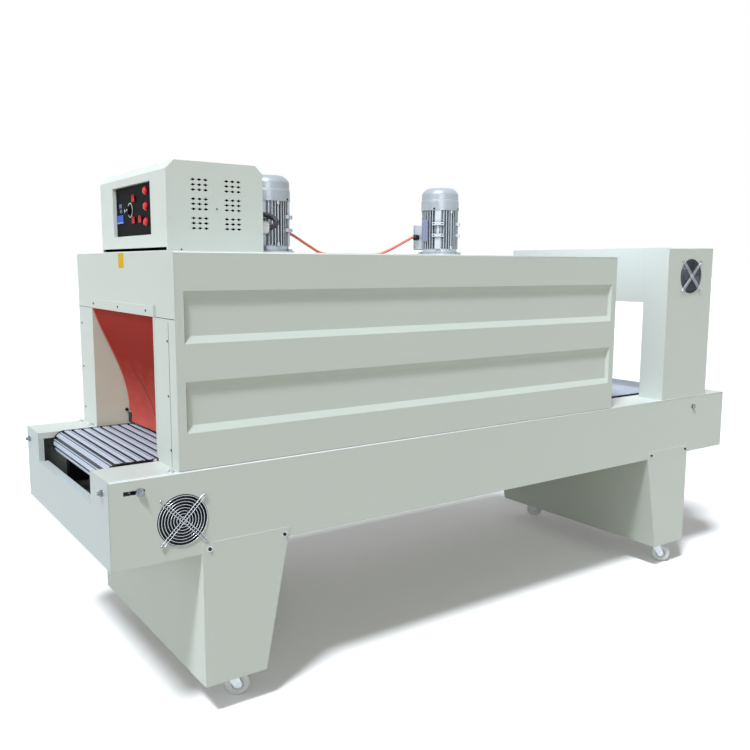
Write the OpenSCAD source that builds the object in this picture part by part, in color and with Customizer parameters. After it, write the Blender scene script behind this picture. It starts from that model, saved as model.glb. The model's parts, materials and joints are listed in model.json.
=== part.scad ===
// Heat shrink tunnel: a mesh-belt conveyor through a heating tunnel and a cooling arch.
// +X runs along the belt from infeed to outfeed, +Z is up, the origin is on the floor at the middle.
// The near side, with the operator's panel vents, is -Y.

/* [Bed] */
// Length of the conveyor bed
bed_len = 2770; // [2600:10:3200]
// Width of the conveyor bed
bed_w = 914; // [890:2:1000]
// Height of the bed's box
bed_h = 244; // [225:1:300]
// Thickness of the sheet metal
sheet = 2; // [1.5:0.25:3]
// Width of the notch in each end plate, where the belt comes out
notch_w = 598; // [580:2:640]
// Depth of the notch below the bed's top
notch_d = 97; // [85:1:115]
// Lip folded inwards along the notch
notch_lip = 30; // [12:1:34]
// Return folded inwards along each upright edge of the notch
notch_return = 18; // [8:1:30]
// Lip folded down along the inner edge of each top flange
flange_drop = 20; // [10:1:30]
// Bottom flange that carries the floor pan
floor_flange = 30; // [15:1:60]

/* [Legs] */
// Height of a leg below the bed
leg_h = 397; // [300:1:600]
// Distance of a leg's outer face from the bed's end
leg_inset = 255; // [210:1:400]
// Length of a leg's side plate at its top
leg_top_len = 278; // [230:1:340]
// Length of a leg at its foot
leg_foot_len = 195; // [150:1:225]
// Overlap of a leg's side plate with the bed's side
leg_tab = 30; // [20:1:60]

/* [Casters] */
// Height from the floor to the leg's foot
caster_h = 97; // [94:1:120]
// Wheel diameter
wheel_d = 75; // [60:1:76]
// Wheel width
wheel_w = 26; // [20:1:32]
// Horizontal distance from the swivel axis to the wheel axis
trail = 28; // [20:1:32]
// Swivel axis, measured in from the bed's side
caster_edge = 70; // [62:1:120]
// Diameter of the kingpin
kingpin_d = 12; // [8:0.5:14]
// Diameter of the wheel axle
wheel_axle_d = 8; // [6:0.5:12]

/* [Belt] */
// Width of the belt over its chains
belt_w = 584; // [540:1:590]
// Radius of the belt's outside where it turns
belt_r = 41; // [36:1:44]
// Thickness of the mesh
belt_t = 8; // [6:0.5:10]
// Spacing of the mesh strips along the belt
strip_pitch = 31.75; // [30:0.05:50]
// Length of one mesh strip along the belt
strip_len = 22; // [15:0.5:28]
// First gap between mesh strips, measured from the infeed roller's axis
strip_lead = 21.5; // [0:0.5:30]
// Height of a mesh strip above the links between
strip_rise = 3; // [1:0.5:4]
// Width of each edge chain
chain_w = 10; // [6:0.5:14]
// Radial depth of each edge chain
chain_t = 11; // [9:0.5:14]
// Roller axis, measured in from the bed's end
roller_inset = 83; // [80:1:110]
// Roller axis, measured down from the bed's top
roller_drop = 37; // [34:0.5:40]
// Diameter of the roller axles
axle_d = 11; // [8:0.5:16]
// Length of the infeed axle outside the bed's side
axle_out = 14; // [8:1:20]
// Drive shaft, measured in from the bed's outfeed end
drive_inset = 225; // [180:1:260]
// Drive shaft, measured down from the bed's top
drive_drop = 45; // [38:1:50]
// Diameter of the drive shaft
drive_d = 20; // [16:1:24]
// Length of the drive shaft outside the bed's side
drive_out = 8; // [4:1:14]
// Length of the take-up slot
slot_len = 58; // [40:1:64]
// Shift of the slot's middle from the axle towards the infeed end
slot_shift = 14; // [0:1:18]
// Diameter of a take-up screw
screw_d = 10; // [6:0.5:12]
// Length of a take-up screw outside the infeed end
screw_out = 15; // [12:1:30]
// Width across the corners of the screw's and axles' nuts
nut_d = 19; // [18:0.5:24]
// Height of those nuts
nut_h = 8; // [4:0.5:9]

/* [Tunnel] */
// Length of the heating tunnel
tunnel_len = 1800; // [1500:10:1900]
// Set-back of the tunnel's sides from the bed's sides
tunnel_edge = 2; // [0:0.5:20]
// Height of the tunnel above the bed
tunnel_h = 595; // [540:1:700]
// Distance of the tunnel from the bed's infeed end
tunnel_inset = 195; // [160:1:260]
// Thickness of the insulated side panels
side_t = 50; // [40:1:70]
// Width of the tunnel's passage
opening_w = 598; // [560:1:640]
// Height of the tunnel's passage above the bed
opening_h = 414; // [360:1:450]
// Height of each pressed recess in the side panels
recess_h = 142; // [100:1:150]
// Margin above the upper recess
recess_top = 105; // [60:1:120]
// Band between the two recesses
recess_gap = 103; // [60:1:120]
// Margin at the recesses' ends
recess_edge = 26; // [15:1:60]
// Depth of the recesses
recess_depth = 13; // [4:0.5:25]
// Run of the recesses' sloping long walls
recess_slope = 20; // [8:1:40]
// Run of the recesses' end walls
recess_end = 6; // [2:1:20]
// Height of the strip that clamps the curtain
strip_h = 30; // [20:1:50]
// Thickness of that strip
strip_t = 3; // [2:0.5:5]
// Thickness of the curtain
curtain_t = 3; // [2:0.5:4]
// How far the foot of the infeed curtain is pushed in
curtain_swing = 113; // [60:1:160]
// Gap between a curtain and what is beside and below it
curtain_gap = 4; // [2:0.5:8]

/* [Cooling arch] */
// Length of the arch along the belt
arch_len = 309; // [260:1:360]
// Set-back of the arch's posts from the bed's sides
arch_edge = 5.5; // [0:0.5:20]
// Height of the arch above the bed
arch_h = 638; // [600:1:760]
// Distance of the arch from the bed's outfeed end
arch_inset = 133; // [100:1:200]
// Width of the arch's opening
arch_open_w = 671; // [620:1:690]
// Height of the arch's opening
arch_open_h = 409; // [360:1:430]

/* [Control box] */
// Length of the box along the belt
box_len = 300; // [240:1:330]
// Width of the box
box_w = 600; // [520:1:700]
// Height of the box
box_h = 255; // [240:1:320]
// Chamfer along the box's upper edges
box_chamfer = 25; // [10:1:40]
// Set-back of the box from the tunnel's infeed end
box_setback = 45; // [30:1:80]
// Gap under the box's front wall
box_gap = 14; // [8:1:25]
// Height of the lip at that gap's foot
box_lip = 5; // [3:0.5:7]
// Width of the panel window
window_w = 346; // [340:1:380]
// Height of the panel window
window_h = 154; // [150:1:165]
// Height of the window's sill above the roof
window_sill = 52; // [40:1:60]
// Depth of the panel behind the box's front
window_recess = 12; // [10:1:20]
// Margin of the panel behind the window's frame
panel_margin = 6; // [4:1:10]
// Thickness of the panel
panel_t = 3; // [2:0.5:5]
// Length of a vent, from point to point
vent_len = 16; // [8:0.5:17]
// Height of a vent at its middle
vent_h = 9; // [4:0.5:11]

/* [Panel fittings] */
// Diameter of a signal lamp
lamp_d = 25; // [16:0.5:30]
// Height of a signal lamp
lamp_h = 9; // [6:0.5:10]
// Diameter of a selector knob
selector_d = 20; // [14:0.5:24]
// Height of a selector knob
selector_h = 9; // [6:0.5:10]
// Diameter of the dial knob
dial_d = 24; // [18:0.5:30]
// Height of the dial knob
dial_h = 9; // [6:0.5:10]
// Diameter of the knobs' spindles
spindle_d = 6; // [4:0.5:8]

/* [Motors] */
// Distance between the two motors
motor_spacing = 758; // [700:1:900]
// Height of a motor above the roof
motor_h = 264; // [240:1:300]
// Diameter of the fan cowl
cowl_d = 147; // [142:1:170]
// Height of the fan cowl
cowl_h = 86; // [80:1:110]
// Diameter of the mounting flange
flange_d = 172; // [150:1:200]
// Thickness of the mounting flange
flange_t = 12; // [8:1:20]
// Number of cooling fins
fin_count = 40; // [24:4:40]
// Diameter over the fins
fin_d = 142; // [130:1:142]
// Depth of the fins
fin_depth = 11; // [6:0.5:14]
// Thickness of a fin
fin_t = 3; // [2:0.5:4]
// Width of the terminal box
terminal_w = 83; // [70:1:100]
// Height of the terminal box
terminal_h = 92; // [70:1:100]
// Reach of the terminal box from the motor's axis
terminal_reach = 114; // [104:1:140]
// Diameter of the cable glands
gland_d = 25; // [20:0.5:30]
// Length of the cable glands
gland_len = 24; // [16:0.5:24]
// Diameter of the conduit's gland on the control box
conduit_gland_d = 44; // [30:0.5:46]
// Length of the conduit's gland
conduit_gland_len = 31; // [20:0.5:36]

/* [Fans] */
// Size of the square fan frame
fan_size = 150; // [148:1:160]
// Depth of the fan frame
fan_depth = 38; // [36:1:50]
// Diameter of the hole in the wall and in the frame
fan_hole_d = 146; // [120:1:147]
// Spacing of the guard's fixing lugs
lug_spacing = 125; // [116:1:130]
// Number of rings in the guard
guard_rings = 8; // [4:1:8]
// Spacing of the guard's rings
ring_pitch = 8; // [5:0.5:8]
// Thickness of the guard's wire
wire = 2.4; // [1.5:0.1:3]
// Number of blades
blade_count = 7; // [3:1:9]
// Pitch angle of the blades
blade_pitch = 35; // [20:1:45]
// Diameter of the fan's hub
hub_d = 60; // [40:1:70]
// Diameter of the fan's pin
fan_pin_d = 8; // [5:0.5:10]
// Bed fan's axis, measured in from the bed's infeed end
bed_fan_x = 201; // [170:1:260]
// Bed fan's axis above the bed's underside
bed_fan_z = 109; // [100:1:115]
// Arch fan's axis above the bed's top
arch_fan_z = 520; // [460:1:540]
// Arch fan's axis, measured from the arch's middle towards the outfeed
arch_fan_shift = 4; // [0:1:20]

/* [Hidden] */
$fn = 64;

paint = [0.86, 0.87, 0.84];
zinc = [0.72, 0.74, 0.76];
alloy = [0.66, 0.69, 0.72];
silicone_red = [0.62, 0.20, 0.17];
knob_red = [0.80, 0.08, 0.08];
black = [0.08, 0.08, 0.09];

// Running clearances: round a pin, and between faces that slide past each other
pin_fit = 0.05;
face_fit = 0.3;

// Levels above the floor
bed_z = caster_h + leg_h;
bed_top = bed_z + bed_h;
roof_z = bed_top + tunnel_h;
passage_z = bed_top + opening_h;
axis_z = bed_top - roller_drop;
belt_top = axis_z + belt_r;

// Widths over the tunnel and the arch
tunnel_w = bed_w - 2 * tunnel_edge;
arch_w = bed_w - 2 * arch_edge;

// Places along the belt
infeed_x = (screw_out - bed_len) / 2;
outfeed_x = infeed_x + bed_len;
roller_x1 = infeed_x + roller_inset;
roller_x2 = outfeed_x - roller_inset;
drive_x = outfeed_x - drive_inset;
drive_z = bed_top - drive_drop;
tunnel_x1 = infeed_x + tunnel_inset;
tunnel_x2 = tunnel_x1 + tunnel_len;
arch_x2 = outfeed_x - arch_inset;
arch_x1 = arch_x2 - arch_len;
box_x = tunnel_x1 + box_setback;
motor_x1 = (tunnel_x1 + tunnel_x2 - motor_spacing) / 2;
motor_x2 = motor_x1 + motor_spacing;

// Swivel axes of the casters, each a little off the middle of the leg's foot, and the way each one trails
caster_y = bed_w / 2 - caster_edge;
caster_x1 = infeed_x + leg_inset + leg_foot_len / 2;
caster_x2 = outfeed_x - leg_inset - leg_foot_len / 2;
caster_places = [
    [caster_x1 + 14, -caster_y + 24, -25],
    [caster_x2, -caster_y, -55],
    [caster_x1, caster_y, 25],
    [caster_x2 + 22, caster_y + 10, -47]];

// Fans: place on the wall's outer face, and which side, -1 near and 1 far
bed_fan_place = [infeed_x + bed_fan_x, bed_w / 2, bed_z + bed_fan_z];
arch_fan_place = [(arch_x1 + arch_x2) / 2 + arch_fan_shift, arch_w / 2, bed_top + arch_fan_z];
fan_places = [
    [bed_fan_place, -1],
    [arch_fan_place, -1],
    [bed_fan_place, 1],
    [arch_fan_place, 1]];

// Knobs and lamps on the panel: across the panel from its middle, and above the window's sill
lamp_places = [[-103, 131], [-103, 85], [-103, 39]];
selector_places = [[-3, 113], [0, 48], [-60, 48]];
dial_place = [42, 81];
panel_x = box_x + window_recess;
panel_z = roof_z + window_sill;

// Motor heights above the roof
fin_z1 = flange_t + 18;
cowl_z = motor_h - cowl_h;
terminal_z = fin_z1 + terminal_h / 2 + 1;
terminal_r = (fin_d / 2 - fin_depth + terminal_reach) / 2;

// Control box: place of the conduit's gland on the rear wall
conduit_gland_y = -262;
conduit_gland_z = roof_z + 78;

// Both motors are turned so that a foot pad looks out at the infeed's near corner; their terminal boxes are
// on the far side
motor_turn = -45;
terminal_turn = -90;

function unit(v) = v / norm(v);

// Tip of a gland on a terminal box's side face, and the way it points
function gland_tip(x, side) = let (u = -terminal_r, v = side * (terminal_w / 2 + gland_len)) [
    x + u * cos(terminal_turn) - v * sin(terminal_turn),
    u * sin(terminal_turn) + v * cos(terminal_turn),
    roof_z + terminal_z];
function gland_way(side) = side * [-sin(terminal_turn), cos(terminal_turn), 0];

// A smooth curve through route points, with some steps between each two
function curve(a, b, c, d, t) =
    b + (c - a) * t / 2 + (2 * a - 5 * b + 4 * c - d) * t * t / 2 + (3 * b - a - 3 * c + d) * t * t * t / 2;
function smooth(p, steps) = let (last = len(p) - 1) [
    for (i = [0 : last - 1]) for (k = [0 : steps - 1])
        curve(p[max(i - 1, 0)], p[i], p[i + 1], p[min(i + 2, last)], k / steps),
    p[last]];

// Cable from the infeed motor's terminal box, down onto the roof and up to the outfeed motor's
cable_d = 10;
cable_lie = cable_d / 2 + 0.5;
cable_start = gland_tip(motor_x1, 1);
cable_end = gland_tip(motor_x2, -1);
cable_route = concat([cable_start], smooth([
    cable_start + 10 * gland_way(1),
    cable_start + [40, 4, 2],
    cable_start + [72, 10, 0],
    cable_start + [110, 21, -15],
    cable_start + [146, 34, -31],
    cable_start + [184, 44, -48],
    [motor_x1 + 286, 140, roof_z + cable_lie + 8],
    [motor_x1 + 335, 160, roof_z + cable_lie + 1],
    [(motor_x1 + motor_x2) / 2, 180, roof_z + cable_lie],
    [motor_x2 - 230, 175, roof_z + cable_lie + 1],
    [motor_x2 - 173, 150, roof_z + cable_lie + 8],
    cable_end + [-46, 26, -28],
    cable_end + 5 * gland_way(-1)], 2), [cable_end]);

// Conduit from the control box's rear gland, round to the infeed motor's terminal box
conduit_d = 17;
conduit_start = [box_x + box_len + conduit_gland_len, conduit_gland_y, conduit_gland_z];
conduit_end = gland_tip(motor_x1, -1);
conduit_route = concat([conduit_start], smooth([
    conduit_start + [10, 0, 0],
    conduit_start + [31, 6, 7],
    conduit_start + [46, 22, 20],
    conduit_start + [49, 44, 32],
    conduit_start + [49, 76, 41],
    conduit_start + [51, 117, 47],
    conduit_end + [-32, -186, 49],
    conduit_end + [-34, -136, 39],
    conduit_end + [-37, -86, 24],
    conduit_end + [-36, -41, 9],
    conduit_end + [-25, -10, 1],
    conduit_end + 10 * gland_way(-1)], 2), [conduit_end]);

function heading(route, i) = unit(route[min(i + 1, len(route) - 1)] - route[max(i - 1, 0)]);
function ring_at(route, i, d, sides) =
    let (t = heading(route, i), a = unit(cross([0, 0, 1], t)), b = cross(t, a))
    [for (k = [0 : sides - 1]) route[i] + d / 2 * (cos(360 * k / sides) * a + sin(360 * k / sides) * b)];

// A round tube along a route
module tube(route, d, sides) {
    rings = len(route);
    points = [for (i = [0 : rings - 1]) each ring_at(route, i, d, sides)];
    walls = [for (i = [0 : rings - 2]) for (k = [0 : sides - 1])
        let (n = (k + 1) % sides)
        [i * sides + k, (i + 1) * sides + k, (i + 1) * sides + n, i * sides + n]];
    first = [for (k = [0 : sides - 1]) k];
    last = [for (k = [0 : sides - 1]) rings * sides - 1 - k];
    polyhedron(points = points, faces = concat(walls, [first, last]));
}

// Draws its children on the near side, or mirrored on the far side
module on_side(side) {
    if (side < 0) children();
    else mirror([0, 1, 0]) children();
}

// A cylinder along Y, from y1 to y2
module rod_y(d, y1, y2) {
    translate([0, y1, 0]) rotate([-90, 0, 0]) cylinder(d = d, h = y2 - y1);
}

// A cylinder along X, from x1 to x2
module rod_x(d, x1, x2) {
    translate([x1, 0, 0]) rotate([0, 90, 0]) cylinder(d = d, h = x2 - x1);
}

// A profile drawn in X and Z, extruded from y1 to y2
module across(y1, y2) {
    translate([0, y2, 0]) rotate([90, 0, 0]) linear_extrude(height = y2 - y1) children();
}

// Bed

module slot_cut() {
    slot_h = axle_d + 2 * face_fit;
    translate([roller_x1 - slot_shift - slot_len / 2, -bed_w / 2 - 1, axis_z]) {
        translate([0, 0, -slot_h / 2]) cube([slot_len, sheet + 2, slot_h]);
    }
}

module bed_side(side) {
    inner_y = -notch_w / 2 - sheet;
    x1 = infeed_x + sheet;
    span = bed_len - 2 * sheet;
    color(paint) on_side(side) difference() {
        union() {
            translate([x1, -bed_w / 2, bed_z]) cube([span, sheet, bed_h]);
            translate([x1, -bed_w / 2, bed_top - sheet]) cube([span, bed_w / 2 + inner_y + sheet, sheet]);
            translate([x1, inner_y, bed_top - flange_drop]) cube([span, sheet, flange_drop]);
            translate([x1, -bed_w / 2, bed_z]) cube([span, floor_flange, sheet]);
        }
        translate([bed_fan_place[0], 0, bed_fan_place[2]])
            rod_y(fan_hole_d, -bed_w / 2 - 1, -bed_w / 2 + sheet + 1);
        slot_cut();
        translate([drive_x, 0, drive_z])
            rod_y(drive_d + 2 * face_fit, -bed_w / 2 - 1, -bed_w / 2 + sheet + 1);
    }
}

module bed_side_near() bed_side(-1);

module bed_side_far() bed_side(1);

// An end plate with its notch, drawn for the infeed end
module end_plate(screw_holes) {
    sill_z = bed_top - notch_d;
    difference() {
        union() {
            translate([infeed_x, -bed_w / 2, bed_z]) cube([sheet, bed_w, bed_h]);
            translate([infeed_x, -notch_w / 2 - sheet, sill_z - sheet])
                cube([notch_lip, notch_w + 2 * sheet, sheet]);
            for (side = [-1, 1]) on_side(side) translate([infeed_x, -notch_w / 2 - sheet, sill_z - sheet])
                cube([notch_return, sheet, notch_d - flange_drop + sheet]);
        }
        translate([infeed_x - 1, -notch_w / 2, sill_z]) cube([sheet + 2, notch_w, notch_d + 1]);
        if (screw_holes) for (side = [-1, 1])
            translate([infeed_x, side * takeup_y, axis_z])
                rod_x(screw_d + 2 * face_fit, -1, sheet + 1);
    }
}

module bed_end_infeed() color(paint) end_plate(true);

module bed_end_outfeed() {
    color(paint) translate([infeed_x + outfeed_x, 0, 0]) mirror([1, 0, 0]) end_plate(false);
}

module bed_floor() {
    color(paint) translate([infeed_x + sheet, -bed_w / 2 + sheet, bed_z + sheet])
        cube([bed_len - 2 * sheet, bed_w - 2 * sheet, sheet]);
}

// Legs

// Side view of a leg, inset by a wall: its outer face is upright and its inner face leans
module leg_profile(wall) {
    lean = (leg_top_len - leg_foot_len) / (leg_h + leg_tab);
    side_wall = wall * sqrt(1 + lean * lean);
    top = leg_h + leg_tab + wall;
    polygon([
        [wall, wall],
        [leg_foot_len + lean * wall - side_wall, wall],
        [leg_foot_len + lean * top - side_wall, top],
        [wall, top]]);
}

module leg() {
    outer_y = bed_w / 2 + sheet;
    difference() {
        across(-outer_y, outer_y) leg_profile(0);
        across(-bed_w / 2, bed_w / 2) leg_profile(sheet);
        translate([-1, -bed_w / 2, leg_h]) cube([leg_top_len + 2, bed_w, leg_tab + 1]);
    }
}

module leg_infeed() color(paint) translate([infeed_x + leg_inset, 0, caster_h]) leg();

module leg_outfeed() {
    color(paint) translate([outfeed_x - leg_inset, 0, caster_h]) mirror([1, 0, 0]) leg();
}

// Casters, drawn with the swivel axis at X = Y = 0, the wheel trailing along +X and the floor at Z = 0

plate_t = 3;
crown_h = 9;
crown_d = 46;
fork_t = 3;
rivet_h = 3;
wheel_gap = 3;
plate_z = caster_h - plate_t;
crown_z = plate_z - face_fit - crown_h;
fork_y = wheel_w / 2 + wheel_gap;

module caster_plate() {
    plate_len = 92;
    plate_w = 70;
    translate([-plate_len / 2, -plate_w / 2, plate_z]) cube([plate_len, plate_w, plate_t]);
    translate([0, 0, crown_z]) cylinder(d = kingpin_d, h = plate_z + 1 - crown_z);
    translate([0, 0, crown_z - face_fit - rivet_h]) cylinder(d = kingpin_d + 6, h = rivet_h);
    translate([0, 0, crown_z - face_fit - 1]) cylinder(d = kingpin_d, h = face_fit + 2);
}

module caster_plates() {
    color(zinc) for (place = caster_places)
        translate([place[0], place[1], 0]) rotate(place[2]) caster_plate();
}

// A fork cheek in X and Z: wide at the crown, round at the axle
module cheek_profile() {
    boss_r = wheel_axle_d / 2 + 9;
    hull() {
        translate([-crown_d / 2 + 5, crown_z]) square([crown_d - 6, fork_t]);
        translate([trail, wheel_d / 2]) circle(r = boss_r, $fn = 32);
    }
}

module caster_fork() {
    difference() {
        union() {
            translate([0, 0, crown_z]) cylinder(d = crown_d, h = crown_h);
            translate([-crown_d / 2 + 5, -fork_y - fork_t, crown_z])
                cube([crown_d - 6, 2 * (fork_y + fork_t), fork_t]);
            across(-fork_y - fork_t, -fork_y) cheek_profile();
            across(fork_y, fork_y + fork_t) cheek_profile();
        }
        translate([0, 0, crown_z - 1]) cylinder(d = kingpin_d + 2 * pin_fit, h = crown_h + 2);
    }
    translate([trail, 0, wheel_d / 2]) rod_y(wheel_axle_d, -fork_y - fork_t - 3, fork_y + fork_t + 3);
}

module caster_wheel() {
    hub_y = fork_y - face_fit;
    bore_r = wheel_axle_d / 2 + pin_fit;
    hub_r = bore_r + 5;
    recess_r = wheel_d / 2 - 18;
    web_y = wheel_w / 2 - 5;
    shoulder = 4;
    half = [
        [bore_r, 0],
        [bore_r, hub_y],
        [hub_r, hub_y],
        [hub_r, web_y],
        [recess_r, web_y],
        [recess_r, wheel_w / 2],
        [wheel_d / 2 - shoulder, wheel_w / 2],
        [wheel_d / 2, wheel_w / 2 - shoulder],
        [wheel_d / 2, 0]];
    translate([trail, 0, wheel_d / 2]) rotate([90, 0, 0]) rotate_extrude() {
        polygon(concat(half, [for (i = [len(half) - 2 : -1 : 1]) [half[i][0], -half[i][1]]]));
    }
}

module at_caster(i) {
    place = caster_places[i];
    translate([place[0], place[1], 0]) rotate(place[2]) children();
}

module caster_fork_at(i) color(zinc) at_caster(i) caster_fork();

module caster_wheel_at(i) color("white") at_caster(i) caster_wheel();

// Belt

takeup_y = bed_w / 2 - 45;

// Outline of the loop at a radius round both roller axes
module loop(r) {
    translate([roller_x1, axis_z]) circle(r = r);
    translate([roller_x2, axis_z]) circle(r = r);
    translate([roller_x1, axis_z - r]) square([roller_x2 - roller_x1, 2 * r]);
}

module loop_band(outer, inner, y1, y2) {
    difference() {
        across(y1, y2) loop(outer);
        across(y1 - 1, y2 + 1) loop(inner);
    }
}

// A row of mesh strips along a straight run, as a comb in X and Z that rises from level 0
module strip_row() {
    span = roller_x2 - roller_x1;
    count = floor((span - strip_lead) / strip_pitch);
    start = strip_lead + (strip_pitch - strip_len) / 2;
    teeth = [for (i = [-1 : count - 1])
        let (x2 = start + i * strip_pitch + strip_len, x1 = max(x2 - strip_len, 0.5))
        if (x2 > x1) each [[x1, 0], [x1, strip_rise], [x2, strip_rise], [x2, 0]]];
    polygon(concat([[0, -1]], [[0, 0]], teeth, [[span, 0], [span, -1]]));
}

module mesh_belt() {
    mesh_y = belt_w / 2 - chain_w;
    base_r = belt_r - strip_rise;
    turn = strip_pitch / belt_r * 180 / PI;
    lead_turn = 90 - 2.5 * turn + strip_lead / belt_r * 180 / PI;
    color(zinc) union() {
        loop_band(base_r, belt_r - belt_t, -mesh_y - 1, mesh_y + 1);
        loop_band(belt_r, belt_r - chain_t, -belt_w / 2, -mesh_y);
        loop_band(belt_r, belt_r - chain_t, mesh_y, belt_w / 2);
        translate([roller_x1, 0, axis_z + base_r]) across(-mesh_y - 1, mesh_y + 1) strip_row();
        translate([roller_x1, 0, axis_z - base_r]) mirror([0, 0, 1])
            across(-mesh_y - 1, mesh_y + 1) strip_row();
        for (i = [-1 : 1]) {
            translate([roller_x1, 0, axis_z]) rotate([0, i * turn + lead_turn, 0])
                translate([-belt_r, -mesh_y - 1, -strip_len / 2])
                    cube([strip_rise + 2, 2 * mesh_y + 2, strip_len]);
            translate([roller_x2, 0, axis_z]) rotate([0, i * turn, 0])
                translate([belt_r - strip_rise - 2, -mesh_y - 1, -strip_len / 2])
                    cube([strip_rise + 2, 2 * mesh_y + 2, strip_len]);
        }
    }
}

// A roller with a sprocket under each chain
module roller() {
    body_y = belt_w / 2 - chain_w - 2;
    rod_y(2 * (belt_r - belt_t - face_fit), -body_y, body_y);
    rod_y(2 * (belt_r - chain_t - face_fit), -belt_w / 2, belt_w / 2);
}

// The infeed roller's axle is held by nuts outside the bed's sides, the outfeed roller's by bearings
// inside them. The drive shaft runs between the belt's two runs.
module belt_rollers() {
    bearing = [44, 14];
    inner_y = bed_w / 2 - sheet;
    color(zinc) {
        translate([roller_x1, 0, axis_z]) {
            roller();
            rod_y(axle_d, -bed_w / 2 - axle_out, bed_w / 2 + axle_out);
            for (side = [-1, 1]) on_side(side) translate([0, -bed_w / 2 - nut_h, 0])
                rotate([-90, 0, 0]) cylinder(d = nut_d + 4, h = nut_h, $fn = 6);
        }
        translate([roller_x2, 0, axis_z]) {
            roller();
            rod_y(axle_d, -inner_y, inner_y);
            for (side = [-1, 1]) on_side(side) rod_y(bearing[0], -inner_y, -inner_y + bearing[1]);
        }
        translate([drive_x, 0, drive_z]) {
            rod_y(drive_d, -bed_w / 2 - drive_out, bed_w / 2 + drive_out);
            for (side = [-1, 1]) on_side(side) rod_y(bearing[0], -inner_y, -inner_y + bearing[1]);
        }
    }
}

// Take-up: a block round the axle inside the bed's side, pulled by a screw through the end plate
module takeup_screws() {
    block = [26, 16, 30];
    color(zinc) for (side = [-1, 1]) translate([0, side * takeup_y, axis_z]) {
        difference() {
            translate([roller_x1 - block[0] / 2, -block[1] / 2, -block[2] / 2]) cube(block);
            translate([roller_x1, 0, 0]) rod_y(axle_d + 2 * pin_fit, -block[1], block[1]);
        }
        rod_x(screw_d, infeed_x - screw_out, roller_x1 - block[0] / 2 + 1);
        translate([infeed_x - nut_h, 0, 0]) rotate([0, 90, 0]) cylinder(d = nut_d, h = nut_h, $fn = 6);
    }
}

// Tunnel

// A pressed recess: a rectangle on the panel's face that narrows to its floor
module recess(len_x, len_z) {
    out = 1;
    a = recess_end;
    b = recess_slope;
    c = recess_end * out / recess_depth;
    e = recess_slope * out / recess_depth;
    polyhedron(
        points = [
            [-c, -out, -e],
            [len_x + c, -out, -e],
            [len_x + c, -out, len_z + e],
            [-c, -out, len_z + e],
            [a, recess_depth, b],
            [len_x - a, recess_depth, b],
            [len_x - a, recess_depth, len_z - b],
            [a, recess_depth, len_z - b]],
        faces = [[3, 2, 1, 0], [4, 5, 6, 7], [0, 1, 5, 4], [1, 2, 6, 5], [2, 3, 7, 6], [3, 0, 4, 7]]);
}

module tunnel_side(side) {
    upper_z = roof_z - recess_top - recess_h;
    lower_z = upper_z - recess_gap - recess_h;
    color(paint) on_side(side) difference() {
        translate([tunnel_x1, -tunnel_w / 2, bed_top]) cube([tunnel_len, side_t, tunnel_h]);
        for (x = [tunnel_x1 - 1, tunnel_x2 - sheet])
            translate([x, -tunnel_w / 2 - 1, passage_z]) cube([sheet + 1, side_t + 2, tunnel_h]);
        for (z = [upper_z, lower_z])
            translate([tunnel_x1 + recess_edge, -tunnel_w / 2, z])
                recess(tunnel_len - 2 * recess_edge, recess_h);
    }
}

module tunnel_side_near() tunnel_side(-1);

module tunnel_side_far() tunnel_side(1);

module tunnel_inner_walls() {
    wall = tunnel_w / 2 - side_t - opening_w / 2;
    color(paint) for (side = [-1, 1]) on_side(side)
        translate([tunnel_x1 + sheet, -tunnel_w / 2 + side_t, bed_top])
            cube([tunnel_len - 2 * sheet, wall, opening_h]);
}

module tunnel_roof() {
    width = tunnel_w - 2 * side_t;
    color(paint) translate([tunnel_x1 + sheet, -width / 2, passage_z])
        cube([tunnel_len - 2 * sheet, width, roof_z - passage_z]);
}

module tunnel_end_plates() {
    color(paint) for (x = [tunnel_x1, tunnel_x2 - sheet])
        translate([x, -tunnel_w / 2, passage_z]) cube([sheet, tunnel_w, roof_z - passage_z]);
}

module tunnel_post_covers() {
    cover_w = tunnel_w / 2 - side_t - opening_w / 2;
    color(paint) for (x = [tunnel_x1, tunnel_x2 - sheet]) for (side = [-1, 1]) on_side(side)
        translate([x, -tunnel_w / 2 + side_t, bed_top]) cube([sheet, cover_w, opening_h]);
}

module curtain_strips() {
    color(paint) for (x = [tunnel_x1 - strip_t, tunnel_x2])
        translate([x, -opening_w / 2, passage_z]) cube([strip_t, opening_w, strip_h]);
}

// The infeed curtain is blown in along the belt: it leaves the strip steeply and hangs straight at its foot
module curtain_infeed() {
    drop = passage_z - belt_top - curtain_gap;
    steps = 8;
    half = opening_w / 2 - curtain_gap;
    edge = [for (i = [0 : steps]) let (f = i / steps)
        [tunnel_x1 + sheet + curtain_swing * pow(sin(100 * f), 1.3), passage_z - drop * f]];
    back = [for (i = [steps : -1 : 0]) [edge[i][0] + curtain_t, edge[i][1]]];
    color(silicone_red) across(-half, half) polygon(concat(edge, back));
}

module curtain_outfeed() {
    half = opening_w / 2 - curtain_gap;
    drop = passage_z - belt_top - curtain_gap;
    color(silicone_red) translate([tunnel_x2 - sheet - curtain_t, -half, passage_z - drop])
        cube([curtain_t, 2 * half, drop]);
}

// Cooling arch

module fan_cavity() {
    rod_y(fan_hole_d, -1, sheet + 1);
    pocket = fan_size + 2 * face_fit;
    translate([-pocket / 2, sheet, -pocket / 2]) cube([pocket, fan_depth + 4, pocket]);
}

module arch_post(side) {
    post_w = (arch_w - arch_open_w) / 2;
    color(paint) on_side(side) difference() {
        translate([arch_x1, -arch_w / 2, bed_top]) cube([arch_len, post_w, arch_h]);
        translate([arch_fan_place[0], -arch_w / 2, arch_fan_place[2]]) fan_cavity();
    }
}

module arch_post_near() arch_post(-1);

module arch_post_far() arch_post(1);

module arch_beam() {
    color(paint) translate([arch_x1, -arch_open_w / 2, bed_top + arch_open_h])
        cube([arch_len, arch_open_w, arch_h - arch_open_h]);
}

// Control box

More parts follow.
